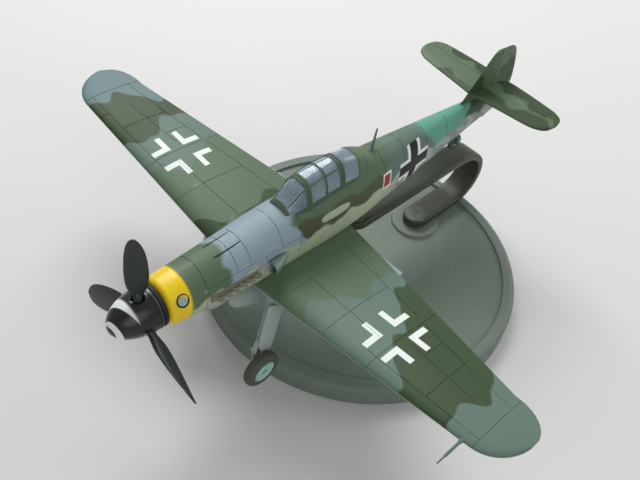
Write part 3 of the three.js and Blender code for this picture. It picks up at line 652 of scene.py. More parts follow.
def scribe(mesh, at, across, low, high, facing=None, width=None, depth=None):
    # an engraved line where a plane meets the skin inside a box: cut three times, sunk at the middle, inked
    width, depth = width or panelLine["width"], depth or panelLine["depth"]
    ink = mesh.verts.layers.float.get("ink") or mesh.verts.layers.float.new("ink")
    at, across = Vector(at), Vector(across).normalized()
    mesh.normal_update()

    def inside(point):
        return all(a <= p <= b for a, p, b in zip(low, point, high))

    def away(vert):
        return (vert.co - at).dot(across)

    for offset in (-width / 2, width / 2, 0):
        crossing = []
        for face in mesh.faces:
            if facing and face.normal.dot(Vector(facing)) < 0.2:
                continue
            if not inside(face.calc_center_median()):
                continue
            spread = [away(v) - offset for v in face.verts]
            if min(spread) < 0 < max(spread):
                crossing.append(face)
        geom = {*crossing, *(e for f in crossing for e in f.edges), *(v for f in crossing for v in f.verts)}
        bmesh.ops.bisect_plane(mesh, geom=list(geom), dist=0.004, plane_co=at + across * offset,
                               plane_no=across)
    mesh.normal_update()
    for vert in mesh.verts:
        if abs(away(vert)) < 0.006 and inside(vert.co):
            if facing and vert.normal.dot(Vector(facing)) < 0.2:
                continue
            vert[ink] = 1.0
            vert.co -= vert.normal * depth
    return mesh


def finishPiece(mesh, name, paint, body, replaced=(), crease=38):
    mesh.transform(toFrame)
    data = bpy.data.meshes.new(name)
    mesh.to_mesh(data)
    mesh.free()
    data.shade_smooth()
    data.set_sharp_from_angle(angle=math.radians(crease))
    data.materials.append(paints[paint])
    piece = bpy.data.objects.new(name, data)
    scene.collection.objects.link(piece)
    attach(piece, body)
    if replaced:
        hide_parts(*replaced)
    return piece


sides = (("port", 1), ("starboard", -1))
upAxis = Vector((0, 0, 1))

# fuselage
hullStations = [  # place aft, half width, top, bottom
    (0, 4.7, 4.5, -5.2), (0.9, 5.1, 4.95, -5.7), (8, 5.35, 5.6, -7.2), (16, 5.6, 6.1, -8.6),
    (24, 5.9, 6.8, -9.4),
    (34, 6.1, 7.6, -9.9), (44, 6.2, 8.6, -10), (54, 6.0, 9.0, -9.3), (64, 5.2, 8.6, -7.8),
    (74, 4.3, 7.9, -6.2),
    (84, 3.4, 7.1, -4.6), (94, 2.5, 6.2, -3.1), (105.8, 1.4, 5.1, -1.5)]
hullAt = smoothCurve(hullStations)
hull = {"waist": -0.5, "shoulder": 0.88, "wall": 1.0, "noseEnd": 5.0, "tailEnd": 105.8,
        "cockpitHalf": 3.0, "cockpit": (34.5, 56.0), "bellyTop": -8.32, "belly": (22.5, 53.4)}


def hullPoint(y, angle, grow=0.0):
    # angle 0 is straight up, a quarter turn is to port
    half, top, bottom = hullAt(y)
    c, s = math.sin(angle), math.cos(angle)
    reach = top - hull["waist"] if s > 0 else hull["waist"] - bottom
    square = hull["shoulder"]
    return Vector((math.copysign(abs(c) ** square, c) * (half + grow), y,
                   hull["waist"] + math.copysign(abs(s) ** square, s) * (reach + grow)))


def skinZ(x, y, grow=0.0):
    # height of the fuselage top over a point
    half, top, bottom = hullAt(y)
    c = min(1, abs(x) / (half + grow)) ** (1 / hull["shoulder"])
    return hull["waist"] + math.sqrt(max(0, 1 - c * c)) ** hull["shoulder"] * (top - hull["waist"] + grow)


def makeFuselage(side, s):
    low, high = hull["noseEnd"] + hairGap, hull["tailEnd"]

    def pointAt(along, around):
        point = hullPoint(low + (high - low) * along, math.pi * around)
        return s * max(hairGap / 2, point.x), point.y, point.z

    mesh = surface(104, 40, pointAt)
    bmesh.ops.recalc_face_normals(mesh, faces=mesh.faces[:])
    if mesh.faces[len(mesh.faces) // 2].normal.x * s < 0:
        bmesh.ops.reverse_faces(mesh, faces=mesh.faces[:])
    # openings for the cockpit and for the wing's belly
    front, rear = hull["cockpit"]
    first, last = hull["belly"]
    cuts = [((0, front, 0), (0, 1, 0)), ((0, rear, 0), (0, 1, 0)),
            ((s * hull["cockpitHalf"], 0, 0), (1, 0, 0)),
            ((0, first, 0), (0, 1, 0)), ((0, last, 0), (0, 1, 0)), ((0, 0, hull["bellyTop"]), (0, 0, 1))]
    for at, across in cuts:
        bmesh.ops.bisect_plane(mesh, geom=mesh.verts[:] + mesh.edges[:] + mesh.faces[:], dist=0.01,
                               plane_co=at, plane_no=across)
    gone = []
    for face in mesh.faces:
        c = face.calc_center_median()
        inCockpit = front < c.y < rear and abs(c.x) < hull["cockpitHalf"] and c.z > 4
        inBelly = first < c.y < last and c.z < hull["bellyTop"]
        if inCockpit or inBelly:
            gone.append(face)
    bmesh.ops.delete(mesh, geom=gone, context="FACES")
    # engraved lines: cowling joints round the nose, frames, and the long stringers of the lower side
    xLow, xHigh = (0.2, 9) if s > 0 else (-9, -0.2)
    for y, foot, head in ((8.7, -9, 7), (16.4, 1.9, 8), (19.8, 2.2, 9), (28.2, 2.0, 9), (33.6, -6, 9),
                          (60.8, -9, 10),
                          (68.4, -9, 10), (77.2, -9, 9), (86.0, -7, 9), (94.8, -6, 8)):
        scribe(mesh, (0, y, 0), (0, 1, 0), (xLow, y - 2, foot), (xHigh, y + 2, head))
    for z, start, end in ((2.0, 8.7, 33.6), (-1.5, 28.2, 52.0), (-4.1, 30.0, 50.0), (-3.9, 8.7, 24.0)):
        scribe(mesh, (0, 0, z), (0, 0, 1), (xLow, start, z - 1), (xHigh, end, z + 1))
    for y, foot, head in ((40.2, -4.1, -1.5), (48.0, -4.1, -1.5), (24.0, -7.5, 2.0)):
        scribe(mesh, (0, y, 0), (0, 1, 0), (xLow, y - 1, foot), (xHigh, y + 1, head))
    # two slanted gun troughs on the nose top
    for reach in (12.4, 13.6):
        scribe(mesh, (s * 1.7, 0, 0), (1, 0, 0), (min(s, s * 2.4), reach, 3), (max(s, s * 2.4), reach + 6, 9),
               width=0.5, depth=0.22)
    thicken(mesh, hull["wall"])
    # the hole for the stand's socket
    mesh = carve(mesh, rod((0, 59.5, -14), (0, 59.5, -3), 2.45, sides=48))
    return finishPiece(mesh, "fuselageHalf_" + side, "fuselage", "airframe", ["fuselage_" + side])


for side, s in sides:
    makeFuselage(side, s)
print("fuselage halves shaped")

cowl = {"lip": 0.75, "bore": 2.75, "end": 5.0, "ventAt": (3.0, 1.05), "ventRadius": 1.3}


def makeNoseRing():
    # the lip rolls over from the side to the flat front, then the bore runs back
    def pointAt(along, around):
        angle = 2 * math.pi * around
        lip = cowl["lip"]
        if along < 0.5:
            y = cowl["end"] + (lip - cowl["end"]) * along / 0.5
            return hullPoint(y, angle)
        if along < 0.75:
            turn = (along - 0.5) / 0.25 * math.pi / 2
            return hullPoint(lip * (1 - math.sin(turn)), angle, -lip * (1 - math.cos(turn)))
        edge = hullPoint(0, angle, -lip)
        edge.y = 0
        inner = Vector((math.sin(angle), 0, math.cos(angle))) * cowl["bore"]
        if along < 0.9:
            return edge.lerp(inner, (along - 0.75) / 0.15)
        return inner + Vector((0, cowl["end"] * (along - 0.9) / 0.1, 0))

    mesh = surface(40, 96, pointAt)
    bmesh.ops.remove_doubles(mesh, verts=mesh.verts[:], dist=weld)
    loops = [e for e in mesh.edges if e.is_boundary]
    bmesh.ops.bridge_loops(mesh, edges=loops)
    bmesh.ops.recalc_face_normals(mesh, faces=mesh.faces[:])
    # a dark joint line just ahead of the cowling
    scribe(mesh, (0, 4.8, 0), (0, 1, 0), (-9, 4.3, -9), (9, 5.3, 9), width=0.26)
    finishPiece(mesh, "noseRing", "yellow", "airframe", ["nose_cowl_ring"])
    # a round filler port with a dark rim on the port shoulder
    y, angle = cowl["ventAt"]
    centre = hullPoint(y, angle)
    outward = (centre - Vector((0, y, hull["waist"]))).normalized()
    r = cowl["ventRadius"]
    rim = turned([(r - 0.14, -0.6), (r - 0.14, 0.06), (r - 0.06, 0.13), (r + 0.06, 0.13), (r + 0.14, 0.06),
                  (r + 0.14, -0.6)], centre, outward, 48, closed=True)
    finishPiece(rim, "noseVentRim", "dark", "airframe")
    cap = turned([(0.001, -0.6), (r - 0.2, -0.6), (r - 0.2, 0.0), (r * 0.6, 0.1), (0.001, 0.14)], centre,
                 outward, 48)
    finishPiece(cap, "noseVentCap", "under", "airframe")


makeNoseRing()

exhaust = {"first": 10.4, "step": 2.0, "count": 6, "z": -1.3, "root": 0.6, "mouth": 0.52, "wall": 0.14}


def stackTube(y):
    # a stub bent aft with a hollow mouth, flattened a little
    bend = [hullPoint(y, math.pi / 2) + Vector((-0.5, 0, exhaust["z"] + 0.5)),
            Vector((6.3, y + 0.15, exhaust["z"])),
            Vector((6.7, y + 0.7, exhaust["z"] - 0.1)), Vector((6.8, y + 1.5, exhaust["z"] - 0.2))]
    line = interpolate_bezier(bend[0], bend[1], bend[2], bend[3], 9)

    def pointAt(along, around):
        inside = along > 0.72
        share = along / 0.72 if not inside else 1 - (along - 0.72) / 0.28 * 0.45
        k = min(int(share * 8), 7)
        place = line[k].lerp(line[k + 1], share * 8 - k)
        ahead = (line[k + 1] - line[k]).normalized()
        sideways = ahead.cross(upAxis).normalized()
        radius = exhaust["root"] + (exhaust["mouth"] - exhaust["root"]) * share - (exhaust["wall"] if inside else 0)
        angle = 2 * math.pi * around
        return place + (sideways * math.cos(angle) * 0.8 + sideways.cross(ahead) * math.sin(angle)) * radius

    return closeUp(surface(26, 20, pointAt))


for side, s in sides:
    start, run = exhaust["first"], exhaust["step"] * (exhaust["count"] - 1)
    z = exhaust["z"]
    rail = [block((4.6, start - 1, z - 0.8), (5.85, start + run + 1.1, z + 0.85), 0.2, 3)]
    shield = [block((5.2, start - 1.2, z + 0.86), (6.05, start + run + 1.6, z + 1.0), 0.06)]
    row = together(*rail, *shield, *(stackTube(start + exhaust["step"] * k) for k in range(exhaust["count"])))
    finishPiece(row if s > 0 else mirrored(row), "exhaustRow_" + side, "exhaust", "airframe",
                ["exhaust_" + side])
print("nose and exhausts shaped")

intake = {"at": (7.15, 24.2, -0.6), "radius": 1.62, "wall": 0.28, "length": 5.0}


def makeIntake():
    # a flared mouth running back into a fairing against the side
    x, y, z = intake["at"]

    def pointAt(along, around):
        angle = 2 * math.pi * around
        wall, radius = intake["wall"], intake["radius"]
        if along < 0.62:
            share = 1 - along / 0.62
            r = radius * (1 - 0.42 * share ** 1.6)
            place = Vector((x - 1.5 * share ** 1.3, y + 0.35 + intake["length"] * share, z))
        elif along < 0.76:
            turn = (along - 0.62) / 0.14 * math.pi
            r = radius - wall / 2 * (1 - math.cos(turn))
            place = Vector((x, y + 0.35 - 0.35 * math.sin(turn), z))
        else:
            share = (along - 0.76) / 0.24
            r = (radius - wall) * (1 - 0.25 * share)
            place = Vector((x - 0.4 * share, y + 0.35 + 2.6 * share, z))
        return place + Vector((math.cos(angle), 0, math.sin(angle))) * r

    body = closeUp(surface(40, 36, pointAt))
    neck = block((4.9, y + 1.6, z - 1.05), (x - 0.5, y + 4.3, z + 1.05), 0.4, 4)
    gauze = turned([(0.01, 0), (intake["radius"] - 0.35, 0), (intake["radius"] - 0.35, 0.1), (0.01, 0.1)],
                   (x - 0.3, y + 2.2, z), (0, 1, 0), 32)
    finishPiece(together(body, neck, gauze), "superchargerIntake", "trim", "airframe",
                ["supercharger_intake"])


makeIntake()


def bath(duct):
    # a duct like half a barrel: (place aft, half width, depth) stations, an open mouth and a rear flap
    x, z, wall, mouth, flap = (duct[k] for k in ("x", "z", "wall", "mouth", "flap"))
    at = smoothCurve(duct["stations"])
    front, back = duct["stations"][0][0], duct["stations"][-1][0]

    def pointAt(along, around):
        angle = 2 * math.pi * around
        if along < 0.72:
            y, thin = back + (front - back) * along / 0.72, 0
        else:
            y, thin = front + mouth * (along - 0.72) / 0.28, wall
        half, depth = at(y)
        c, s = math.cos(angle), math.sin(angle)
        squared = 0.72
        lid = 1 if s < 0 else duct["lid"]
        return (x + math.copysign(abs(c) ** squared, c) * (half - thin), y,
                z + math.copysign(abs(s) ** squared, s) * (depth - thin) * lid)

    shell = closeUp(surface(46, 48, pointAt))
    half, depth = at(front + mouth * 0.8)
    bars = []
    for k in range(9):
        across = x + (k - 4) / 4.6 * (half - wall)
        reach = depth * 0.86 * math.sqrt(1 - ((k - 4) / 5) ** 4)
        bars.append(block((across - 0.07, front + mouth * 0.55, z - reach),
                          (across + 0.07, front + mouth * 0.75, z - 0.2), 0.02, 1))
    half, depth = at(back)
    plateOut = [(x - half * 0.8, back - 0.1), (x + half * 0.8, back - 0.1), (x + half * 0.74, back + flap),
                (x - half * 0.74, back + flap)]
    hinged = moved(plate(plateOut, 0.22, ((1, 0, 0), (0, 1, 0), (0, 0, 1)), 0.06),
                   (0, 0, z - depth * 0.78), math.radians(-12), "X", (x, back, 0))
    return together(shell, *bars, hinged)


coolerBath = {"x": 0, "z": -7.0, "stations": [(11.5, 2.85, 3.3), (14, 3.25, 3.75), (22, 2.7, 3.0)],
              "wall": 0.32,
              "mouth": 2.2, "flap": 2.0, "lid": 0.7}
radiatorBath = {"x": 17.5, "z": -8.1, "stations": [(37, 4.95, 3.2), (40, 5.2, 3.6), (50.5, 4.8, 2.0)],
                "wall": 0.4,
                "mouth": 2.6, "flap": 2.6, "lid": 0.35}
finishPiece(bath(coolerBath), "oilCoolerBath", "under", "airframe", ["oil_cooler"])
for side, s in sides:
    made = bath(radiatorBath)
    finishPiece(made if s > 0 else mirrored(made), "radiatorBath_" + side, "under", "airframe",
                ["radiator_" + side])
print("intake and radiators shaped")

# wings
wing = {"halfSpan": 68.9, "tipStart": 60.0, "root": (22.5, 53.4), "tip": (24.5, 40.2), "meet": 34.0,
        "z": -8.3,
        "thick": (4.2, 1.5), "dihedral": 6.34, "edge": 0.13}
rise = math.tan(math.radians(wing["dihedral"]))


def wingAt(x):
    a = abs(x)
    t = min(a / wing["tipStart"], 1)
    u = max(0, (a - wing["tipStart"]) / (wing["halfSpan"] - wing["tipStart"]))
    bend = 1 - math.sqrt(max(0, 1 - u ** 2.2))
    lead, trail = (wing["root"][k] + (wing["tip"][k] - wing["root"][k]) * t for k in (0, 1))
    thick = (wing["thick"][0] + (wing["thick"][1] - wing["thick"][0]) * t) * (1 - 0.55 * bend)
    return lead + (wing["meet"] - lead) * bend, trail + (wing["meet"] - trail) * bend, wing["z"] + a * rise, thick


def bulge(s):
    return max(0, 2.969 * math.sqrt(s) - 1.26 * s - 3.516 * s ** 2 + 2.843 * s ** 3 - 1.0 * s ** 4)


def onWing(x, chordShare, up, proud=0.0):
    lead, trail, z, thick = wingAt(x)
    skin = wing["edge"] + thick * (0.56 if up > 0 else 0.44) * bulge(chordShare)
    return Vector((x, lead + (trail - lead) * chordShare, z + up * (skin + proud)))


def spanPlace(share, start=0.0):
    # even steps along the panel, then closer ones round the tip
    straight = 0.74
    if share < straight:
        return start + (wing["tipStart"] - start) * share / straight
    turn = (share - straight) / (1 - straight) * math.pi / 2
    return wing["tipStart"] + (wing["halfSpan"] - wing["tipStart"] - 0.1) * math.sin(turn)


def wingPanel(s, up, start):
    # half an aerofoil, closed: the curved skin and the flat joint behind it
    def pointAt(along, around):
        x = s * spanPlace(along, start)
        if 0.02 < around < 0.92:
            return onWing(x, (1 - math.cos((around - 0.03) / 0.88 * math.pi)) / 2, up)
        lead, trail, z, thick = wingAt(x)
        back = 0 if around < 0.02 else 1 - (around - 0.94) / 0.06
        return x, lead + (trail - lead) * min(1, max(0, back)), z + up * hairGap / 2

    return closeUp(surface(92, 34, pointAt))


# engraved wing lines, by span and chord share: ailerons, flaps, slats, access panels, tip joint
spanwiseLines = [(36.0, 61.2, 0.79), (9.5, 35.6, 0.8), (33.5, 61.2, 0.13), (12.0, 33.0, 0.32),
                 (38.0, 56.0, 0.5)]
chordwiseLines = [(61.3, 0.0, 1.0), (35.8, 0.0, 1.0), (48.5, 0.12, 0.79), (24.0, 0.0, 0.8), (12.0, 0.1, 0.8),
                  (42.0, 0.5, 0.79), (54.6, 0.02, 0.13)]


def scribeWing(mesh, s, up):
    facing = (0, 0, up)
    for start, end, share in spanwiseLines:
        a, b = onWing(s * start, share, up), onWing(s * end, share, up)
        across = (b - a).cross(upAxis)
        low = (min(a.x, b.x), min(a.y, b.y) - 0.8, -12)
        high = (max(a.x, b.x), max(a.y, b.y) + 0.8, 6)
        scribe(mesh, a, across, low, high, facing)
    for x, first, last in chordwiseLines:
        a, b = onWing(s * x, first, up), onWing(s * x, last, up)
        scribe(mesh, a, (1, 0, 0), (s * x - 0.9, a.y, -12), (s * x + 0.9, b.y, 6), facing)
    return mesh


for side, s in sides:
    panel = wingPanel(s, 1, 3.0)
    finishPiece(scribeWing(panel, s, 1), "wingUpper_" + side, "wing", "airframe", ["wing_upper_" + side])

wheelBay = {"centre": (23.4, 29.4), "radius": 5.0, "depth": 1.3, "slot": 2.6, "from": (7.6, 25.4),
            "corner": 0.25}


def makeLowerWing():
    panels = [scribeWing(wingPanel(s, -1, 0.0), s, -1) for side, s in sides]
    knives = []
    for side, s in sides:
        x, y = wheelBay["centre"]
        top = wingAt(x)[2] - 0.28
        foot = top - 5
        knives.append(rod((s * x, y, foot), (s * x, y, top), wheelBay["radius"], sides=56))
        x0, y0 = wheelBay["from"]
        run = Vector((s * (x - x0), y - y0, (x - x0) * rise))
        turn = run.to_track_quat("X", "Z").to_matrix().to_4x4()
        slot = block((0, -wheelBay["slot"] / 2, -5), (run.length, wheelBay["slot"] / 2, 0), 0.3)
        slot.transform(Matrix.Translation((s * x0, y0, wingAt(x0)[2] - 0.28)) @ turn)
        knives.append(slot)

    def pointAt(along, around):
        first, last = hull["belly"]
        y = first + hairGap + (last - first - 2 * hairGap) * along
        half, top, bottom = hullAt(y)
        reach = hull["waist"] - bottom
        # the lower part of the hull's ring, from the wing's underside round the belly
        limit = min(1, (hull["waist"] - hull["bellyTop"]) / reach) ** (1 / hull["shoulder"])
        first = math.pi / 2 + math.asin(limit)
        angle = first + (2 * math.pi - 2 * (first - math.pi / 2) - math.pi) * around
        return hullPoint(y, angle)

    belly = closeUp(surface(48, 28, pointAt))
    for y in (28.5, 45.0):
        scribe(belly, (0, y, 0), (0, 1, 0), (-9, y - 1, -12), (9, y + 1, -8.5), (0, 0, -1))
    whole = carve(panels[0], panels[1], how="UNION")
    return together(carve(whole, *knives), belly)


finishPiece(makeLowerWing(), "wingLower", "under", "airframe", ["wing_lower"])

# hinge brackets under each aileron
wingTrim = {"bracketSpan": (40.0, 48.5, 57.5)}


def makeWingTrim(side, s):
    parts = []
    for x in wingTrim["bracketSpan"]:
        at = onWing(s * x, 0.79, -1, 0.15)
        parts.append(block((at.x - 0.18, at.y - 1.1, at.z - 0.35), (at.x + 0.18, at.y + 0.9, at.z + 0.35),
                           0.08))
    finishPiece(together(*parts), "aileronBrackets_" + side, "trim", "airframe")


for side, s in sides:
    makeWingTrim(side, s)

pitot = {"x": 59.0, "reach": 7.0, "radius": 0.3, "tip": 0.17}


def makePitot():
    x, reach = pitot["x"], pitot["reach"]
    lead, trail, z, thick = wingAt(x)
    tube = turned([(0.001, reach), (pitot["tip"] * 0.8, reach), (pitot["tip"], reach - 0.15),
                   (pitot["tip"], reach - 1.9),
                   (pitot["radius"], reach - 2.3), (pitot["radius"], 0.9), (pitot["radius"] * 1.5, 0.3),
                   (pitot["radius"] * 1.5, -0.2), (0.001, -0.2)], (x, lead, z), (0, -1, 0), 24)
    finishPiece(tube, "pitotTube", "trim", "airframe", ["pitot_tube"])


makePitot()
screwHead = {"radius": 1.4, "height": 0.8, "slotWidth": 0.35, "slotDepth": 0.35,
             "at": {"front": 26.4, "rear": 49.6}}


def makeScrew(which, y):
    r, foot = screwHead["radius"], modelBox("wing_screw_" + which)[0].z
    top = foot + screwHead["height"]
    shank = 0.75
    body = turned([(0.001, 0), (r * 0.75, 0), (r, 0.3), (r, screwHead["height"]),
                   (shank, screwHead["height"]),
                   (shank, 4.9), (0.4, 5.4), (0.001, 5.4)], (0, y, foot), upAxis, 40)
    reach, half, deep = r + 0.2, screwHead["slotWidth"] / 2, screwHead["slotDepth"]
    cross = [block((-reach, y - half, foot - 1), (reach, y + half, foot + deep), 0.03),
             block((-half, y - reach, foot - 1), (half, y + reach, foot + deep), 0.03)]
    finishPiece(carve(body, *cross), "wingScrew_" + which, "steel", "airframe", ["wing_screw_" + which])


for which, y in screwHead["at"].items():
    makeScrew(which, y)
print("wings shaped")

# tail
tail = {"finThick": 1.3, "tailThick": 1.1, "z": 8.0}
lying = ((1, 0, 0), (0, 1, 0), (0, 0, 1))


def outlineThrough(points, steps=6):
    # a closed outline with its corners drawn as curves: a point with a third value is rounded by that radius
    made = []
    for k, point in enumerate(points):
        here = Vector(point[:2])
        if len(point) == 2:
            made.append(tuple(here))
            continue
        before, after = Vector(points[k - 1][:2]), Vector(points[(k + 1) % len(points)][:2])
        start = here + (before - here).normalized() * min(point[2], (before - here).length * 0.48)
        end = here + (after - here).normalized() * min(point[2], (after - here).length * 0.48)
        made += [tuple(start.lerp(here, t).lerp(here.lerp(end, t),
                                                t)) for t in (j / steps for j in range(steps + 1))]
    return made


finShape = {
    "lead": [(2.5, 89.8), (5.5, 92.8), (9, 95.9), (13.4, 99.7), (16.4, 102.0), (17.6, 103.6), (18.05, 105.3)],
    "rear": [(-3.1, 107.4), (-2.6, 112.4), (-0.6, 115.2), (3.0, 116.1), (8, 115.6), (12.5, 114.5),
             (15.8, 113.1),
             (17.5, 110.9), (18.05, 107.0)],
    "hinge": 105.95, "foot": 3.0, "rudderFoot": -3.05, "top": 18.05, "gap": 0.12}
planeShape = {
    "lead": [(0.8, 97.0), (10, 98.15), (17, 99.1), (19.6, 100.4), (20.7, 102.0), (21.15, 104.4)],
    "rear": [(0.8, 107.6), (2.0, 109.6), (4, 110.1), (17, 109.5), (19.6, 108.6), (20.7, 107.4),
             (21.15, 105.4)],
    "root": 0.85, "tip": 21.15}


def constant(value):
    return lambda place: (value,)


def makeTail():
    hinge, gap = finShape["hinge"], finShape["gap"]
    fin = tailSurface(smoothCurve(finShape["lead"]), constant(hinge - gap), finShape["foot"], finShape["top"],
                      tail["finThick"], lambda c: math.sin(c * math.pi / 2) ** 0.7, 0.06,
                      lambda place, y, x: (x, y, place))
    for z in (9.4, 13.2):
        scribe(fin, (0, 0, z), (0, 0, 1), (-2, 90, z - 1), (2, 105.7, z + 1))
    finishPiece(fin, "tailFin", "tail", "airframe", ["fin"])
    rudder = tailSurface(smoothCurve(finShape["rear"]), constant(hinge + gap), finShape["rudderFoot"],
                         finShape["top"],
                         tail["finThick"], lambda c: 0.16 * min(1, c * 12) + 0.84 * c, 0.06,
                         lambda place, y, x: (x, y, place))
    for z in (15.2, 11.8, 8.4, 5.0, 1.6):
        scribe(rudder, (0, 108, z), (0, 0.12, 1), (-2, 106.4, z - 1.5), (2, 115.4, z + 1.5), depth=0.05)
    scribe(rudder, (0, 113.2, 0), (0, 1, 0.05), (-2, 111, 1.6), (2, 115.4, 8.4))
    finishPiece(rudder, "tailRudder", "tail", "airframe", ["rudder"])
    hinges = [rod((0, hinge - 0.3, z - 0.7), (0, hinge - 0.3, z + 0.7), 0.74, sides=24,
                  soften=0.08) for z in (15.2, 9.0, 1.4)]
    finishPiece(together(*hinges), "rudderHinges", "trim", "airframe")
    for side, s in sides:
        plane = tailSurface(smoothCurve(planeShape["lead"]), smoothCurve(planeShape["rear"]),
                            planeShape["root"],
                            planeShape["tip"], tail["tailThick"], lambda c: min(1, bulge(c) + 0.16 * c), 0.05,
                            lambda place, y, z: (place, y, tail["z"] + z))
        for up in (1, -1):
            facing = (0, 0, up)
            scribe(plane, (0, 105.4, 0), (0.0, 1, 0), (2.0, 104, 5), (20.0, 107, 10), facing)
            for x in (6.0, 12.0, 17.4):
                scribe(plane, (x, 0, 0), (1, 0, 0), (x - 1, 105.6, 5), (x + 1, 109.0, 10), facing, depth=0.05)
            scribe(plane, (19.0, 0, 0), (1, 0.12, 0), (17, 99, 5), (20.8, 105.4, 10), facing)
        finishPiece(plane if s > 0 else mirrored(plane), "tailplaneSkin_" + side, "tail", "airframe",
                    ["tailplane_" + side])


makeTail()
print("tail shaped")

# canopy
canopy = {"front": 31.0, "hood": 37.2, "rear": 47.2, "painted": 52.4, "end": 58.5, "glass": 0.4, "sill": 4.3,
          "top": [(31, 7.5), (33, 9.3), (37.2, 12.4), (42, 13.0), (47.2, 13.0), (52, 12.3), (58.5, 9.1)]}
canopyTop = smoothCurve(canopy["top"])


def canopyPoint(y, share, proud=0.0):
    # share 0 is the starboard sill and 1 the port sill: upright sides, a rounded shoulder, a flat roof
    t = min(1, (y - canopy["front"]) / 6)
    foot = 3.02 + 1.08 * t
    high = canopyTop(y)[0]
    angle = math.pi * (1 - share)
    c, s = math.cos(angle), math.sin(angle)
    square = 0.62
    z = canopy["sill"] + (high - canopy["sill"] + proud) * s ** square
    lean = 1 - 0.22 * ((z - canopy["sill"]) / (high - canopy["sill"])) ** 2
    return Vector((math.copysign(abs(c) ** square, c) * (foot * lean + proud), y, z))


def pane(start, end, name, node):
    mesh = surface(max(6, int((end - start) * 1.6)), 48, lambda a,
                   b: canopyPoint(start + (end - start) * a, b))
    bmesh.ops.recalc_face_normals(mesh, faces=mesh.faces[:])
    if max(mesh.faces, key=lambda f: f.calc_center_median().z).normal.z < 0:
        bmesh.ops.reverse_faces(mesh, faces=mesh.faces[:])
    bmesh.ops.solidify(mesh, geom=mesh.faces[:], thickness=canopy["glass"])
    return finishPiece(mesh, name, "glass", "airframe", [node])


def frameBar(y0, y1, share0, share1, proud=0.16, thick=0.26):
    # a strip of metal laid over the glass
    def pointAt(along, around):
        return canopyPoint(y0 + (y1 - y0) * along, share0 + (share1 - share0) * around, proud)

    mesh = surface(max(2, int(abs(y1 - y0) * 1.5)), max(2, int(abs(share1 - share0) * 48)), pointAt)
    bmesh.ops.recalc_face_normals(mesh, faces=mesh.faces[:])
    faces = mesh.faces[:]
    middle = Vector((0, (y0 + y1) / 2, 8))
    if sum((f.calc_center_median() - middle).dot(f.normal) for f in faces) < 0:
        bmesh.ops.reverse_faces(mesh, faces=faces)
    bmesh.ops.solidify(mesh, geom=faces, thickness=thick)
    return roundEdges(mesh, 0.05, 2, 60)


def makeCanopy():
    front, hood, rear, painted, end = (canopy[k] for k in ("front", "hood", "rear", "painted", "end"))
    pane(front + 0.3, hood - 0.05, "windscreenGlass", "windscreen")
    pane(hood + 0.05, rear - 0.05, "hoodGlass", "canopy_hood")
    pane(rear + 0.05, end, "rearGlass", "rear_glazing")
    bars = [frameBar(y - w, y + w, 0, 1) for y, w in ((hood - 0.42, 0.36), (rear - 0.45, 0.36))]
    bars += [frameBar(hood + 0.03, hood + 0.62, 0, 1), frameBar(rear + 0.05, rear + 0.6, 0, 1)]
    bars.append(frameBar(42.0, 42.45, 0, 1))
    corner = 0.3  # where the roof panel meets the side panel
    for side in (corner, 1 - corner):
        bars.append(frameBar(hood, rear, side - 0.012, side + 0.012))
        bars.append(frameBar(front + 1.2, hood - 0.6, side - 0.014, side + 0.014))
    for first, last in ((0.0, 0.075), (0.925, 1.0)):
        bars.append(frameBar(front + 0.8, painted, first, last, 0.12))
    bars.append(frameBar(front + 0.25, front + 1.1, 0.0, 1.0, 0.12))
    finishPiece(together(*bars), "canopyFrames", "frame", "airframe")
    fairing = frameBar(painted, end + 0.05, 0, 1, 0.14, 0.3)
    scribe(fairing, (0, painted + 2.6, 0), (0, 1, 0), (-6, painted + 1.6, 4), (6, painted + 3.6, 15))
    finishPiece(fairing, "canopyFairing", "fuselage", "airframe")


makeCanopy()

# cockpit
cabin = {"half": 3.05, "front": 34.75, "rear": 55.7, "floor": -2.5, "rim": 4.15, "sheet": 0.4}


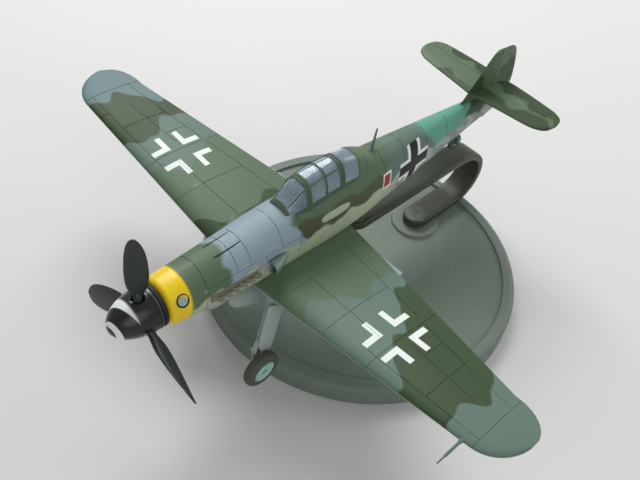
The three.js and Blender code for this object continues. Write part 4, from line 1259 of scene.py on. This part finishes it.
def makeCockpit():
    half, front, rear, floor, rim, sheet = (cabin[k] for k in ("half", "front", "rear", "floor", "rim",
                                                               "sheet"))
    walls = [block((-half, front, floor), (half, rear, floor + sheet), 0.06),
             block((-half, front, floor), (half, front + sheet, rim), 0.06),
             block((-half, rear - sheet, floor), (half, rear, rim), 0.06)]
    for s in (-1, 1):
        a, b = sorted((s * half, s * (half - sheet)))
        walls.append(block((a, front, floor), (b, rear, rim), 0.06))
        # side consoles with switch boxes, a trim wheel and ribs
        a, b = sorted((s * (half - sheet), s * 2.1))
        walls.append(block((a, 37.2, floor + sheet), (b, 41.0, 1.9), 0.12))
        walls += [block((min(s * 2.66, s * 2.5), y, floor + 1), (max(s * 2.66, s * 2.5), y + 0.3, rim - 0.2),
                        0.04)
                  for y in (42.5, 48.0, 51.0)]
        walls.append(turned([(0.001, 0), (0.75, 0), (0.85, 0.12), (0.75, 0.24), (0.001, 0.24)],
                            (s * 2.3, 40.2, 2.3), (s, 0, 0), 28))
    # luggage shelf behind the seat
    walls.append(block((-half + sheet, 47.4, 2.9), (half - sheet, rear - sheet, 3.3), 0.1))
    walls.append(block((-1.6, 49.2, 3.3), (1.6, 52.2, 4.0), 0.3, 3))
    finishPiece(together(*walls), "cockpitTub", "cockpit", "airframe", ["cockpit_tub"])
    # the pilot's seat: pan, raked back, side walls, cushion and headrest
    seatZ = floor + 0.7
    pan = [block((-1.85, 41.5, seatZ), (1.85, 45.5, seatZ + 0.5), 0.2, 3)]
    back = moved(block((-1.8, 44.9, seatZ), (1.8, 45.35, seatZ + 6.2), 0.2, 3), (0, 0, 0), math.radians(-6),
                 "X",
                 (0, 45, seatZ))
    pan.append(back)
    for s in (-1, 1):
        a, b = sorted((s * 2.05, s * 1.7))
        pan.append(block((a, 41.7, seatZ), (b, 45.4, seatZ + 2.2), 0.16, 3))
    cushion = block((-1.6, 41.8, seatZ + 0.5), (1.6, 45.0, seatZ + 1.15), 0.3, 4)
    rest = block((-1.45, 44.45, seatZ + 1.2), (1.45, 44.95, seatZ + 5.2), 0.24, 4)
    finishPiece(together(*pan, cushion, moved(rest, (0, 0.1, 0), math.radians(-6), "X", (0, 45, seatZ))),
                "pilotSeat", "seat", "airframe", ["pilot_seat"])
    straps = []
    for s in (-1, 1):
        straps.append(moved(block((s * 0.75 - 0.28, 44.28, seatZ + 1.2),
                                  (s * 0.75 + 0.28, 44.42, seatZ + 5.4), 0.05),
                            (0, 0.1, 0), math.radians(-6), "X", (0, 45, seatZ)))
        straps.append(block((s * 0.95 - 0.5, 42.6, seatZ + 1.15), (s * 0.95 + 0.5, 43.15, seatZ + 1.27),
                            0.04))
        straps.append(block((s * 1.55 - 0.24, 42.5, seatZ + 1.12), (s * 1.55 + 0.24, 43.25, seatZ + 1.36),
                            0.05))
    straps.append(block((-0.42, 42.55, seatZ + 1.15), (0.42, 43.2, seatZ + 1.42), 0.08))
    finishPiece(together(*straps), "seatHarness", "webbing", "airframe")
    outline = outlineThrough([(-1.55, floor + 0.7), (1.55, floor + 0.7), (1.55, 9.6, 1.0), (0.9, 11.4, 0.8),
                              (-0.9, 11.4, 0.8), (-1.55, 9.6, 1.0)])
    armour = moved(plate(outline, 0.5, ((1, 0, 0), (0, 0, 1), (0, 1, 0)), 0.1), (0, 46.4, 0))
    pad = block((-0.8, 45.75, 8.2), (0.8, 46.2, 10.0), 0.18, 3)
    finishPiece(together(armour, pad), "headArmourPlate", "cockpit", "airframe", ["head_armour"])


def makePanel():
    floor = cabin["floor"] + 0.7
    axes = ((1, 0, 0), (0, 0, 1), (0, 1, 0))
    outline = outlineThrough([(-2.4, 3.0, 0.5), (2.4, 3.0, 0.5), (2.4, 6.4, 0.8), (1.5, 7.5, 0.9),
                              (-1.5, 7.5, 0.9),
                              (-2.4, 6.4, 0.8)])
    board = moved(plate(outline, 0.5, axes, 0.08), (0, 36.3, 0))
    low = block((-0.8, 36.05, floor), (0.8, 36.55, 3.1), 0.1)
    rims, faces = [board, low], []
    for x, z, r in ((-1.7, 5.7, 0.42), (-0.72, 5.9, 0.45), (0.3, 5.9, 0.45), (1.35, 5.8, 0.45),
                    (-1.75, 4.5, 0.38),
                    (-0.85, 4.7, 0.4), (0.1, 4.7, 0.4), (1.0, 4.6, 0.36), (1.8, 4.6, 0.3), (-1.2, 3.6, 0.3),
                    (-0.3, 3.7, 0.3), (0.6, 3.7, 0.3), (1.5, 3.6, 0.28)):
        ring = [(r - 0.08, 0), (r - 0.08, 0.2), (r - 0.04, 0.24), (r, 0.2), (r, 0)]
        rims.append(turned(ring, (x, 36.5, z), (0, 1, 0), 24, closed=True))
        faces.append(turned([(0.001, 0.02), (r - 0.09, 0.02), (r - 0.09, 0.12), (0.001, 0.12)], (x, 36.5, z),
                            (0, 1, 0), 24))
        faces.append(moved(block((x - 0.03, 36.6, z - 0.02), (x + 0.03, 36.66, z + r * 0.75), 0.01, 1),
                           turn=x * 2 + z,
                           axis="Y", about=(x, 36.6, z)))
    finishPiece(together(*rims), "instrumentBoard", "dark", "airframe", ["instrument_panel"])
    finishPiece(together(*faces), "instrumentDials", "dial", "airframe")
    sight = [block((-0.42, 36.0, 7.6), (0.42, 37.0, 8.5), 0.12, 3),
             rod((0, 36.5, 8.4), (0, 36.6, 9.0), 0.32, 0.26, 24, 0.05),
             moved(block((-0.5, 36.6, 8.7), (0.5, 36.68, 9.7), 0.03), turn=math.radians(-32), axis="X",
                   about=(0, 36.6, 8.9))]
    finishPiece(together(*sight), "reflectorSight", "dark", "airframe", ["gunsight"])
    stick = [rod((0, 39.6, floor), (0, 39.6, floor + 0.9), 0.55, 0.3, 24, 0.06),
             rod((0, 39.6, floor), (0, 39.7, 2.4), 0.2, 0.17, 16),
             rod((0, 39.7, 2.2), (0, 40.0, 3.6), 0.32, 0.28, 20, 0.1),
             rod((0, 40.1, 3.3), (0.35, 40.0, 3.5), 0.1, 0.1, 12)]
    finishPiece(together(*stick), "controlColumn", "dark", "airframe", ["control_stick"])


makeCockpit()
makePanel()
mast = {"y": 60.2, "top": 14.6, "rake": 0.4, "chord": 1.2, "thick": 0.5}


def makeMast():
    foot = skinZ(0, mast["y"]) - 0.2
    centre = (0, mast["y"], foot)

    def pointAt(along, around):
        angle, share = 2 * math.pi * around, min(1, along / 0.94)
        size = (1 - 0.5 * share) * (1 if along < 0.97 else 0.35)
        z = foot + (mast["top"] - foot) * share + (0.06 if along > 0.94 else 0)
        return (math.cos(angle) * mast["thick"] / 2 * size, mast["y"] + mast["rake"] * share
                + math.sin(angle) * mast["chord"] / 2 * size, z)

    boot = turned([(0.9, 0), (0.9, 0.2), (0.6, 0.36), (0.001, 0.36), (0.001, 0)], (0, mast["y"], foot + 0.1),
                  upAxis, 32)
    finishPiece(together(closeUp(surface(16, 24, pointAt)), boot), "antennaMast", "trim", "airframe",
                ["antenna_mast"])


makeMast()
print("canopy and cockpit shaped")

# undercarriage
gear = {"wheel": (14.3, 17.0, -22.4), "top": (7.6, 25.4, -8.4), "inboard": 2.2, "radius": 0.95, "knee": 0.62,
        "axle": 0.62, "tyre": 4.6, "tyreWidth": 2.6, "hub": 2.75, "doorWidth": 5.4, "doorLength": 11.0,
        "doorThick": 0.5, "doorStand": 1.3, "doorFrom": 2.6}


def makeLeg(side, s):
    top = Vector(gear["top"])
    wheelX, y, z = gear["wheel"]
    foot = Vector((wheelX - gear["inboard"], y, z))
    along = (foot - top).normalized()
    knee = top.lerp(foot, gear["knee"])
    r = gear["radius"]
    outward = (Vector((1, 0, 0)) - along * along.x).normalized()
    forward = along.cross(outward)
    parts = [rod(top - along * 0.9, knee, r, sides=32, soften=0.1),
             rod(knee - along * 0.9, knee + along * 0.15, r * 1.16, sides=32, soften=0.12),
             rod(top + along * 1.4, top + along * 2.0, r * 1.14, sides=32, soften=0.1),
             rod(foot + along * 0.5, foot - along * 1.5, r * 0.95, sides=32, soften=0.12),
             rod(foot - Vector((0.7, 0, 0)), foot + Vector((0.55, 0, 0)), 1.15, sides=32, soften=0.12)]
    # torque links between the barrel and the axle block
    for start, end in ((knee - along * 0.4, 0.5), (foot - along * 0.9, 0.5)):
        middle = knee.lerp(foot, 0.5) + forward * 1.9
        link = rod(start + forward * r * 0.8, middle, 0.34, 0.24, 16, 0.05)
        parts.append(link)
    pin = knee.lerp(foot, 0.5) + forward * 1.9
    parts.append(rod(pin - outward * 0.5, pin + outward * 0.5, 0.32, sides=20, soften=0.06))
    # brake line clipped down the back
    route = [top + along * 2.5 - forward * (r + 0.1), knee - forward * (r + 0.15),
             foot - along * 3 - forward * 1.5,
             foot - along * 0.3 - forward * 0.6]
    line = interpolate_bezier(*route, 24)
    for a, b in zip(line, line[1:]):
        parts.append(rod(a, b + (b - a) * 0.15, 0.13, sides=8))
    steel = [rod(knee - along * 0.5, foot - along * 0.6, r * 0.66, sides=32),
             rod(foot, Vector((wheelX + gear["tyreWidth"] / 2, y, z)), gear["axle"], sides=32, soften=0.1)]
    leg, slide = together(*parts), together(*steel)
    body = "leg_" + side
    finishPiece(leg if s > 0 else mirrored(leg), "gearLeg_" + side, "under", body, ["gear_leg_" + side])
    finishPiece(slide if s > 0 else mirrored(slide), "gearSlide_" + side, "steel", body)
    # the door: a pressed panel with ribs on its inner face and two clips to the leg
    across = forward
    half, length = gear["doorWidth"] / 2, gear["doorLength"]
    outline = outlineThrough([(-half, 0, 0.6), (half, 0, 0.6), (half, length - 3, 2.4),
                              (half * 0.5, length, 1.2),
                              (-half * 0.8, length, 1.4)])
    place = top + along * gear["doorFrom"] + outward * (gear["doorStand"] + gear["doorThick"] / 2)
    door = [plate(outline, gear["doorThick"], ((1, 0, 0), (0, 1, 0), (0, 0, 1)), 0.14, 3)]
    inner = -gear["doorThick"] / 2
    rib = 0.28
    door += [block((-half + 0.5, at - 0.16, inner - rib), (half - 0.5, at + 0.16, inner + 0.05), 0.08)
             for at in (1.2, 3.6, 6.0, 8.2)]
    door += [block((x - 0.16, 0.6, inner - rib), (x + 0.16, length - 2.4, inner + 0.05),
                   0.08) for x in (-half + 0.6, half - 0.6)]
    turn = Matrix((across, along, outward)).transposed().to_4x4()
    if turn.determinant() < 0:
        turn = Matrix((-across, along, outward)).transposed().to_4x4()
    leaf = together(*door)
    leaf.transform(Matrix.Translation(place) @ turn)
    clips = []
    for down in (1.5, 6.5):
        at = top + along * (gear["doorFrom"] + down)
        clips.append(rod(at + outward * (r * 0.7), at + outward * (gear["doorStand"] + 0.2), 0.42, sides=20,
                         soften=0.08))
        clips.append(rod(at - along * 0.3, at + along * 0.3, r * 1.12, sides=32, soften=0.08))
    leaf = together(leaf, *clips)
    finishPiece(leaf if s > 0 else mirrored(leaf), "gearDoor_" + side, "under", body, ["gear_door_" + side])


def tyreShape(radius, width, bore, centre, grooves):
    # a round-shouldered tyre with grooves round its tread
    profile = []
    steps = 40
    for k in range(steps + 1):
        angle = -math.pi / 2 + math.pi * k / steps
        side = math.copysign(abs(math.sin(angle)) ** 0.85, math.sin(angle)) * width / 2
        reach = radius - (radius - bore) * (1 - abs(math.cos(angle)) ** 0.62)
        sunk = grooves and abs(side) < width * 0.3 and k % 4 == 0
        profile.append((reach - (0.12 if sunk else 0), side))
    profile += [(bore, width * 0.3), (bore, -width * 0.3)]
    return turned(profile, centre, (1, 0, 0), 96, closed=True)


def makeWheel(side, s):
    x, y, z = gear["wheel"]
    centre = Vector((x, y, z))
    tyre = tyreShape(gear["tyre"], gear["tyreWidth"], gear["hub"] + 0.04, centre, True)
    body = "wheel_" + side
    finishPiece(tyre if s > 0 else mirrored(tyre), "mainTyre_" + side, "rubber", body, ["tyre_" + side])
    r = gear["hub"]
    profile = [(gear["axle"] + 0.08, -1.05), (r * 0.5, -1.05), (r * 0.62, -0.75), (r * 0.82, -0.7),
               (r * 0.9, -1.1),
               (r, -1.15), (r, 1.15), (r * 0.92, 1.15), (r * 0.86, 0.85), (r * 0.78, 0.55), (r * 0.45, 0.62),
               (r * 0.4, 1.0), (r * 0.34, 1.15), (gear["axle"] + 0.08, 1.15)]
    parts = [turned(profile, centre, (1, 0, 0), 72, closed=True)]
    for k in range(8):
        angle = 2 * math.pi * k / 8
        out = Vector((0, math.cos(angle), math.sin(angle)))
        parts.append(rod(centre + out * r * 0.42 + Vector((0.62, 0, 0)),
                         centre + out * r * 0.86 + Vector((0.62, 0, 0)), 0.24,
                         0.2, 12))
        nut = centre + out * r * 0.62 + Vector((-0.72, 0, 0))
        parts.append(rod(nut, nut - Vector((0.2, 0, 0)), 0.17, sides=6))
    hub = together(*parts)
    finishPiece(hub if s > 0 else mirrored(hub), "wheelHub_" + side, "hub", body, ["wheel_hub_" + side])


for side, s in sides:
    makeLeg(side, s)
    makeWheel(side, s)

tailWheel = {"centre": (0, 96.5, -7.3), "radius": 2.3, "width": 1.5, "bore": 0.72, "legTop": (0, 95.3, -2.6)}


def makeTailWheel():
    centre, top = Vector(tailWheel["centre"]), Vector(tailWheel["legTop"])
    finishPiece(tyreShape(tailWheel["radius"], tailWheel["width"], 1.15, centre, False), "tailTyre", "rubber",
                "tail_wheel", ["tail_tyre"])
    disc = turned([(0.5, -0.5), (0.8, -0.42), (1.17, -0.52), (1.17, 0.52), (0.8, 0.42), (0.5, 0.5)], centre,
                  (1, 0, 0), 48,
                  closed=True)
    finishPiece(disc, "tailWheelDisc", "hub", "tail_wheel")
    reach = tailWheel["width"] / 2 + 0.35
    parts = [rod(top, (0, 95.6, -4.3), 0.62, 0.54, 28, 0.08),
             block((-reach - 0.42, 95.0, -4.75), (reach + 0.42, 96.3, -4.1), 0.25, 3)]
    for s in (-1, 1):
        a, b = sorted((s * reach, s * (reach + 0.42)))
        parts.append(moved(block((a, 95.3, -7.9), (b, 96.3, -4.3), 0.16, 3), turn=math.radians(10), axis="X",
                           about=(0, 95.8, -4.3)))
        parts.append(rod((s * (reach + 0.35), *centre[1:]), (s * (reach + 0.7), *centre[1:]), 0.36, sides=6,
                         soften=0.04))
    parts.append(rod((-reach - 0.2, *centre[1:]), (reach + 0.2, *centre[1:]), 0.38, sides=24))
    for k in range(4):
        parts.append(turned([(0.62, 0), (0.86, 0.12), (0.62, 0.24)], (0, 95.4, -2.9 - 0.3 * k), upAxis, 28,
                            closed=True))
    finishPiece(together(*parts), "tailFork", "trim", "airframe", ["tail_fork"])


makeTailWheel()
print("undercarriage shaped")

# drop tank
tank = {"nose": 19.8, "length": 31.0, "radius": 3.7, "z": -16.2, "peg": 0.5, "pegs": (31.5, 40.0),
        "swell": 0.4}


def tankRadius(share):
    if share < tank["swell"]:
        return tank["radius"] * math.sqrt(max(0, 1 - (1 - share / tank["swell"]) ** 2))
    return tank["radius"] * max(0,
                                math.cos((share - tank["swell"]) / (1 - tank["swell"]) * math.pi / 2)) ** 0.8


def makeTank():
    nose, length, z = tank["nose"], tank["length"], tank["z"]
    turns = 60
    shares = [(1 - math.cos(math.pi * k / turns)) / 2 for k in range(turns + 1)]
    body = turned([(tankRadius(t) if 0 < t < 1 else 0.0005, nose + length * t) for t in shares], (0, 0, z),
                  (0, 1, 0), 72)
    for y in (nose + 6.5, nose + 20.5):
        scribe(body, (0, y, 0), (0, 1, 0), (-5, y - 1, z - 5), (5, y + 1, z + 5))
    middle = nose + length * tank["swell"]
    r = tank["radius"]
    seam = turned([(r - 0.2, -0.18), (r + 0.16, -0.16), (r + 0.22, 0), (r + 0.16, 0.16), (r - 0.2, 0.18)],
                  (0, middle, z),
                  (0, 1, 0), 72, closed=True)
    cap = rod((1.6, middle - 4, z + r * 0.8), (1.75, middle - 4, z + r * 0.8 + 0.45), 0.6, 0.55, 28, 0.1)
    drain = rod((0, middle + 2, z - r + 0.1), (0, middle + 2, z - r - 0.28), 0.4, 0.32, 20, 0.08)
    pegs = [rod((0, y, z + 2.4), (0, y, z + r + 1.8), tank["peg"], sides=24,
                soften=0.1) for y in tank["pegs"]]
    bands = [turned([(tankRadius((y - nose) / length) - 0.1, -0.35),
                     (tankRadius((y - nose) / length) + 0.1, -0.3),
                     (tankRadius((y - nose) / length) + 0.1, 0.3),
                     (tankRadius((y - nose) / length) - 0.1, 0.35)],
                    (0, y, z), (0, 1, 0), 72, closed=True) for y in tank["pegs"]]
    finishPiece(together(body, seam, cap, drain, *pegs, *bands), "dropTank", "under", "tank", ["drop_tank"])


def makeRack():
    low, high = modelBox("tank_rack")
    front, rear, half = 28.5, 43.0, 1.3
    outline = outlineThrough([(-half, front + 2.6, 2), (0, front, 0.8), (half, front + 2.6, 2),
                              (half, rear - 4.4, 3),
                              (0, rear, 0.8), (-half, rear - 4.4, 3)], 8)
    body = moved(plate(outline, high.z - low.z - 0.1, lying, 0.3, 4), (0, 0, (low.z + high.z) / 2))
    parts = [body]
    for y in (33.2, 38.2):
        for s in (-1, 1):
            arm = rod((s * 0.9, y, low.z + 0.7), (s * 2.3, y, low.z + 0.4), 0.3, 0.26, 16, 0.05)
            pad = rod((s * 2.2, y, low.z + 0.75), (s * 2.2, y, low.z - 0.62), 0.26, 0.24, 16, 0.05)
            parts += [arm, pad, rod((s * 2.2, y, low.z - 0.55), (s * 2.25, y, low.z - 0.8), 0.5, 0.5, 20, 0.06)]
    finishPiece(together(*parts), "tankRack", "under", "airframe", ["tank_rack"])


makeTank()
makeRack()
print("tank shaped")

# propeller
prop = {"radius": 20.8, "chord": 4.7, "thick": 0.8, "root": 2.5, "stem": 0.9, "y": -4.2, "first": 5.6,
        "count": 3,
        "twist": (62, 26), "spinner": 4.9, "spinnerLength": 9.6, "back": -1.5, "wall": 0.6, "cuff": 1.5}
bladeWidth = smoothCurve([(0, 0.36), (0.09, 0.6), (0.26, 0.92), (0.45, 1.0), (0.65, 0.97), (0.82, 0.84),
                          (0.93, 0.6),
                          (0.985, 0.3), (1, 0.06)])


def makeBlade(k):
    first, last = prop["first"] - 0.9, prop["radius"] - 0.05

    def pointAt(along, around):
        share = 1 - (1 - along) ** 1.35
        r = first + (last - first) * share
        aim, tipAim = prop["twist"]
        twist = math.radians(aim + (tipAim - aim) * share)
        angle = 2 * math.pi * around
        chord = math.cos(angle) * prop["chord"] * 0.5 * bladeWidth(share)[0]
        thick = math.sin(angle) * prop["thick"] * (1.25 - 0.85 * share) * 0.5 * (1.1 - 0.35 * math.cos(angle))
        thick = math.copysign(min(abs(thick), 0.5), thick) if share > 0.02 else thick
        return (chord * math.cos(twist) - thick * math.sin(twist),
                prop["y"] + chord * math.sin(twist) + thick * math.cos(twist), r)

    blade = closeUp(surface(60, 32, pointAt))
    stem = prop["stem"]
    root = turned([(0.001, prop["root"]), (stem, prop["root"]), (stem, 4.9), (stem * 0.92, 5.3),
                   (stem * 0.6, 6.1),
                   (0.001, 6.6)], (0, prop["y"], 0), upAxis, 32)
    mesh = moved(together(blade, root), turn=2 * math.pi / prop["count"] * k, axis="Y")
    name = "prop_blade_%d" % (k + 1)
    finishPiece(mesh, "propellerBlade_%d" % (k + 1), "blade", "propeller", [name])


def coneProfile(radius, length, back, steps=40):
    made = []
    for k in range(steps + 1):
        angle = math.pi / 2 * k / steps
        s = math.cos(angle) ** 0.9
        made.append((max(0.0005, radius * math.sqrt(max(0, 1 - s ** 2.2))), back - length * s))
    return made


def makeSpinner():
    outer = coneProfile(prop["spinner"], prop["spinnerLength"], prop["back"])
    inner = coneProfile(prop["spinner"] - prop["wall"], prop["spinnerLength"] - 1.2, prop["back"])
    shell = turned(outer + inner[::-1], (0, 0, 0), (0, 1, 0), 120)
    for y in (prop["back"] - 0.7,):
        scribe(shell, (0, y, 0), (0, 1, 0), (-6, y - 0.6, -6), (6, y + 0.6, 6))
    holes = []
    for k in range(prop["count"]):
        hole = rod((0, prop["y"], 2.6), (0, prop["y"], 8), prop["cuff"], sides=40)
        holes.append(moved(hole, turn=2 * math.pi / prop["count"] * k, axis="Y"))
    finishPiece(carve(shell, *holes), "spinnerShell", "spinner", "propeller", ["spinner"])
    r = prop["spinner"]
    plateShape = turned([(1.25, -1.28), (r - 0.7, -1.28), (r - 0.7, -1.5), (r - 0.62, -1.6),
                         (r - 0.62, -1.28), (r - 0.08, -1.28),
                         (r, -1.2), (r, -0.5), (r - 0.1, -0.4), (1.25, -0.4)], (0, 0, 0), (0, 1, 0), 96,
                         closed=True)
    finishPiece(plateShape, "spinnerBackplate", "dark", "propeller", ["spinner_backplate"])


for k in range(prop["count"]):
    makeBlade(k)
makeSpinner()
for node in ("prop_shaft", "shaft_collar", "nose_bush"):
    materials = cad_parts[node].data.materials
    for k in range(len(materials)):
        materials[k] = paints["steel"]
print("propeller shaped")

# stand
stand = {"centre": (0, 66.0), "table": -38.0, "radius": 42.0, "height": 6.0, "rim": 3.4, "deckDrop": 0.8,
         "cover": 1.2,
         "wall": 1.6, "bossY": 88.0, "boss": 6.4, "plug": 2.0, "round": 1.8}
arm = {"width": 7.0, "thick": 2.2, "top": -12.3, "end": 56.5, "bend": 101.0, "corner": 0.7, "pegY": 59.5,
       "pegRadius": 1.3}


def arcRound(corner, start, end, radius, steps=8):
    # a fillet between two runs of a profile
    corner, before, after = Vector(corner), Vector(start), Vector(end)
    a = corner + (before - corner).normalized() * radius
    b = corner + (after - corner).normalized() * radius
    return [tuple(a.lerp(corner, t).lerp(corner.lerp(b, t),
                                         t)) for t in (k / steps for k in range(steps + 1))]


def makeBase():
    R, table = stand["radius"], stand["table"]
    top = table + stand["height"]
    deck = top - stand["deckDrop"]
    inner, hollow = R - stand["rim"], R - stand["rim"] - 0.6
    profile = [(0.0005, deck)]
    profile += arcRound((inner, deck), (0, deck), (inner, top), 0.5)
    profile += arcRound((inner, top), (inner, deck), (R, top), 0.35)
    profile += arcRound((R, top), (inner, top), (R, table), stand["round"], 14)
    profile += arcRound((R, table + 0.05), (R, top), (0, table + 0.05), 0.5)
    profile += [(hollow, table + 0.05), (hollow, table + 3), (hollow - 1.4, deck - stand["wall"]),
                (0.0005, deck - stand["wall"])]
    body = turned(profile, (*stand["centre"], 0), upAxis, 180)
    y, r = stand["bossY"], stand["boss"]
    bossProfile = [(0.0005, deck - 3), (r, deck - 3),
                   *arcRound((r, top + 0.2), (r, deck), (0, top + 0.2), 0.5),
                   (stand["plug"] + 0.5, top + 0.2), (stand["plug"] + 0.15, top - 0.1),
                   (stand["plug"] + 0.15, table + 2.4),
                   (0.0005, table + 2.4)]
    boss = turned(bossProfile, (0, y, 0), upAxis, 72)
    # the deck carries a fillet where the boss stands on it
    skirt = turned([(r - 0.3, deck - 0.2), (r + 0.55, deck + 0.0), (r + 0.2, deck + 0.12), (r, deck + 0.45),
                    (r - 0.3, deck + 0.4)],
                   (0, y, 0), upAxis, 72, closed=True)
    cut = carve(body, rod((0, y, table + 2.4), (0, y, top + 4), stand["plug"] + 0.3, sides=48))
    finishPiece(together(cut, boss, skirt), "standBase", "stand", "stand", ["stand_base"])
    coverR = hollow - 0.3
    cover = turned([(0.0005, table), (coverR - 0.2, table), (coverR, table + 0.2), (coverR, table + 1.0),
                    (coverR - 0.2, table + 1.2),
                    (0.0005, table + 1.2)], (*stand["centre"], 0), upAxis, 120)
    finishPiece(cover, "standBaseCover", "cover", "stand", ["stand_base_cover"])


def makeArm():
    table = stand["table"]
    footZ = table + stand["height"] + 0.2 + 0.3 + arm["thick"] / 2
    stripZ = arm["top"] - arm["thick"] / 2
    climb = stripZ - footZ
    bend, half, thick = arm["bend"], arm["width"] / 2, arm["thick"] / 2
    curve = interpolate_bezier((0, bend, footZ), (0, bend + climb * 0.72, footZ),
                               (0, bend + climb * 0.7, stripZ),
                               (0, bend - 3, stripZ), 49)
    # close stations at both rounded ends
    start, stripStart = stand["bossY"] - half, bend - 3
    line = [Vector((0, start + (bend - start) * (1 - math.cos(math.pi / 2 * k / 26)),
                    footZ)) for k in range(26)]
    line += curve
    line += [Vector((0, stripStart + (arm["end"] - stripStart) * math.sin(math.pi / 2 * k / 40), stripZ))
             for k in range(1, 41)]
    last = len(line) - 1

    def pointAt(along, around):
        k = min(int(along * last + 0.5), last)
        place = line[k]
        ahead = (line[min(k + 1, last)] - line[max(k - 1, 0)]).normalized()
        normal = Vector((1, 0, 0)).cross(ahead)
        width = half
        end = line[0] if k < 26 else line[-1]
        nearEnd = (place - end).length
        if nearEnd < half:
            width = math.sqrt(max(0.02, half ** 2 - (half - nearEnd) ** 2)) * 0.999
        angle = 2 * math.pi * around
        c, s = math.cos(angle), math.sin(angle)
        side = math.copysign(abs(c) ** 0.28, c) * width
        up = math.copysign(abs(s) ** 0.36, s) * thick
        return place + Vector((side, 0, 0)) + normal * up

    band = closeUp(surface(last, 56, pointAt))
    y = stand["bossY"]
    plug = rod((0, y, footZ), (0, y, table + 2.7), stand["plug"], sides=40, soften=0.25)
    flange = turned([(0.0005, 0), (3.1, 0), (3.1, 0.22), (0.0005, 0.22)], (0, y, footZ + thick - 0.1), upAxis,
                    48)
    finishPiece(together(band, plug, flange), "standArm", "arm", "arm", ["stand_arm"])
    y, r = arm["pegY"], arm["pegRadius"]
    low, high = modelBox("stand_peg")
    peg = turned([(0.0005, low.z), (2.6, low.z), (2.55, low.z + 0.3), (2.1, low.z + 0.8),
                  (1.75, low.z + 1.15), (r, low.z + 1.35), (r, high.z - 0.4),
                  (r - 0.35, high.z), (0.0005, high.z)], (0, y, 0), upAxis, 56)
    finishPiece(peg, "standPeg", "arm", "arm", ["stand_peg"])


makeBase()
makeArm()
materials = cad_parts["peg_socket"].data.materials
for k in range(len(materials)):
    materials[k] = paints["dark"]
print("stand shaped")

# floor and light
studio = {"world": (0.93, 0.94, 0.96, 1), "worldStrength": 0.42, "floor": (206, 206, 204),
          "lamps": [("key", (-0.30, 0.16, 0.42), 0.34, 2.35), ("fill", (0.38, -0.22, 0.30), 0.45, 0.7),
                    ("rim", (0.10, 0.46, 0.26), 0.30, 0.6)]}


def makeStudio():
    world = bpy.data.worlds.new("studio")
    world.use_nodes = True
    sky = world.node_tree.nodes["Background"].inputs
    sky["Color"].default_value, sky["Strength"].default_value = studio["world"], studio["worldStrength"]
    scene.world = world
    aim = Vector((0, 0, 0.02))
    for name, place, size, power in studio["lamps"]:
        data = bpy.data.lights.new(name, "AREA")
        data.shape, data.size, data.energy = "DISK", size, power
        lamp = bpy.data.objects.new(name, data)
        lamp.location = place
        lamp.rotation_mode = "QUATERNION"
        lamp.rotation_quaternion = (aim - Vector(place)).to_track_quat("-Z", "Y")
        scene.collection.objects.link(lamp)
    mesh = bmesh.new()
    bmesh.ops.create_grid(mesh, x_segments=2, y_segments=2, size=4)
    data = bpy.data.meshes.new("floor")
    mesh.to_mesh(data)
    mesh.free()
    floor = bpy.data.objects.new("floor", data)
    scene.collection.objects.link(floor)
    material, tree, shader = newMaterial("paleFloor", rough=0.7)
    source = addNode(tree, "TexCoord").outputs["Object"]
    cloud = addNode(tree, "TexNoise", {"Vector": source, "Scale": 3, "Detail": 2}).outputs[0]
    tone = paintColor(*studio["floor"])
    tint = mixColor(tree, cloud, tone, tuple(c * 0.97 for c in tone[:3]) + (1,))
    tree.links.new(tint, shader.inputs["Base Color"])
    data.materials.append(material)


makeStudio()
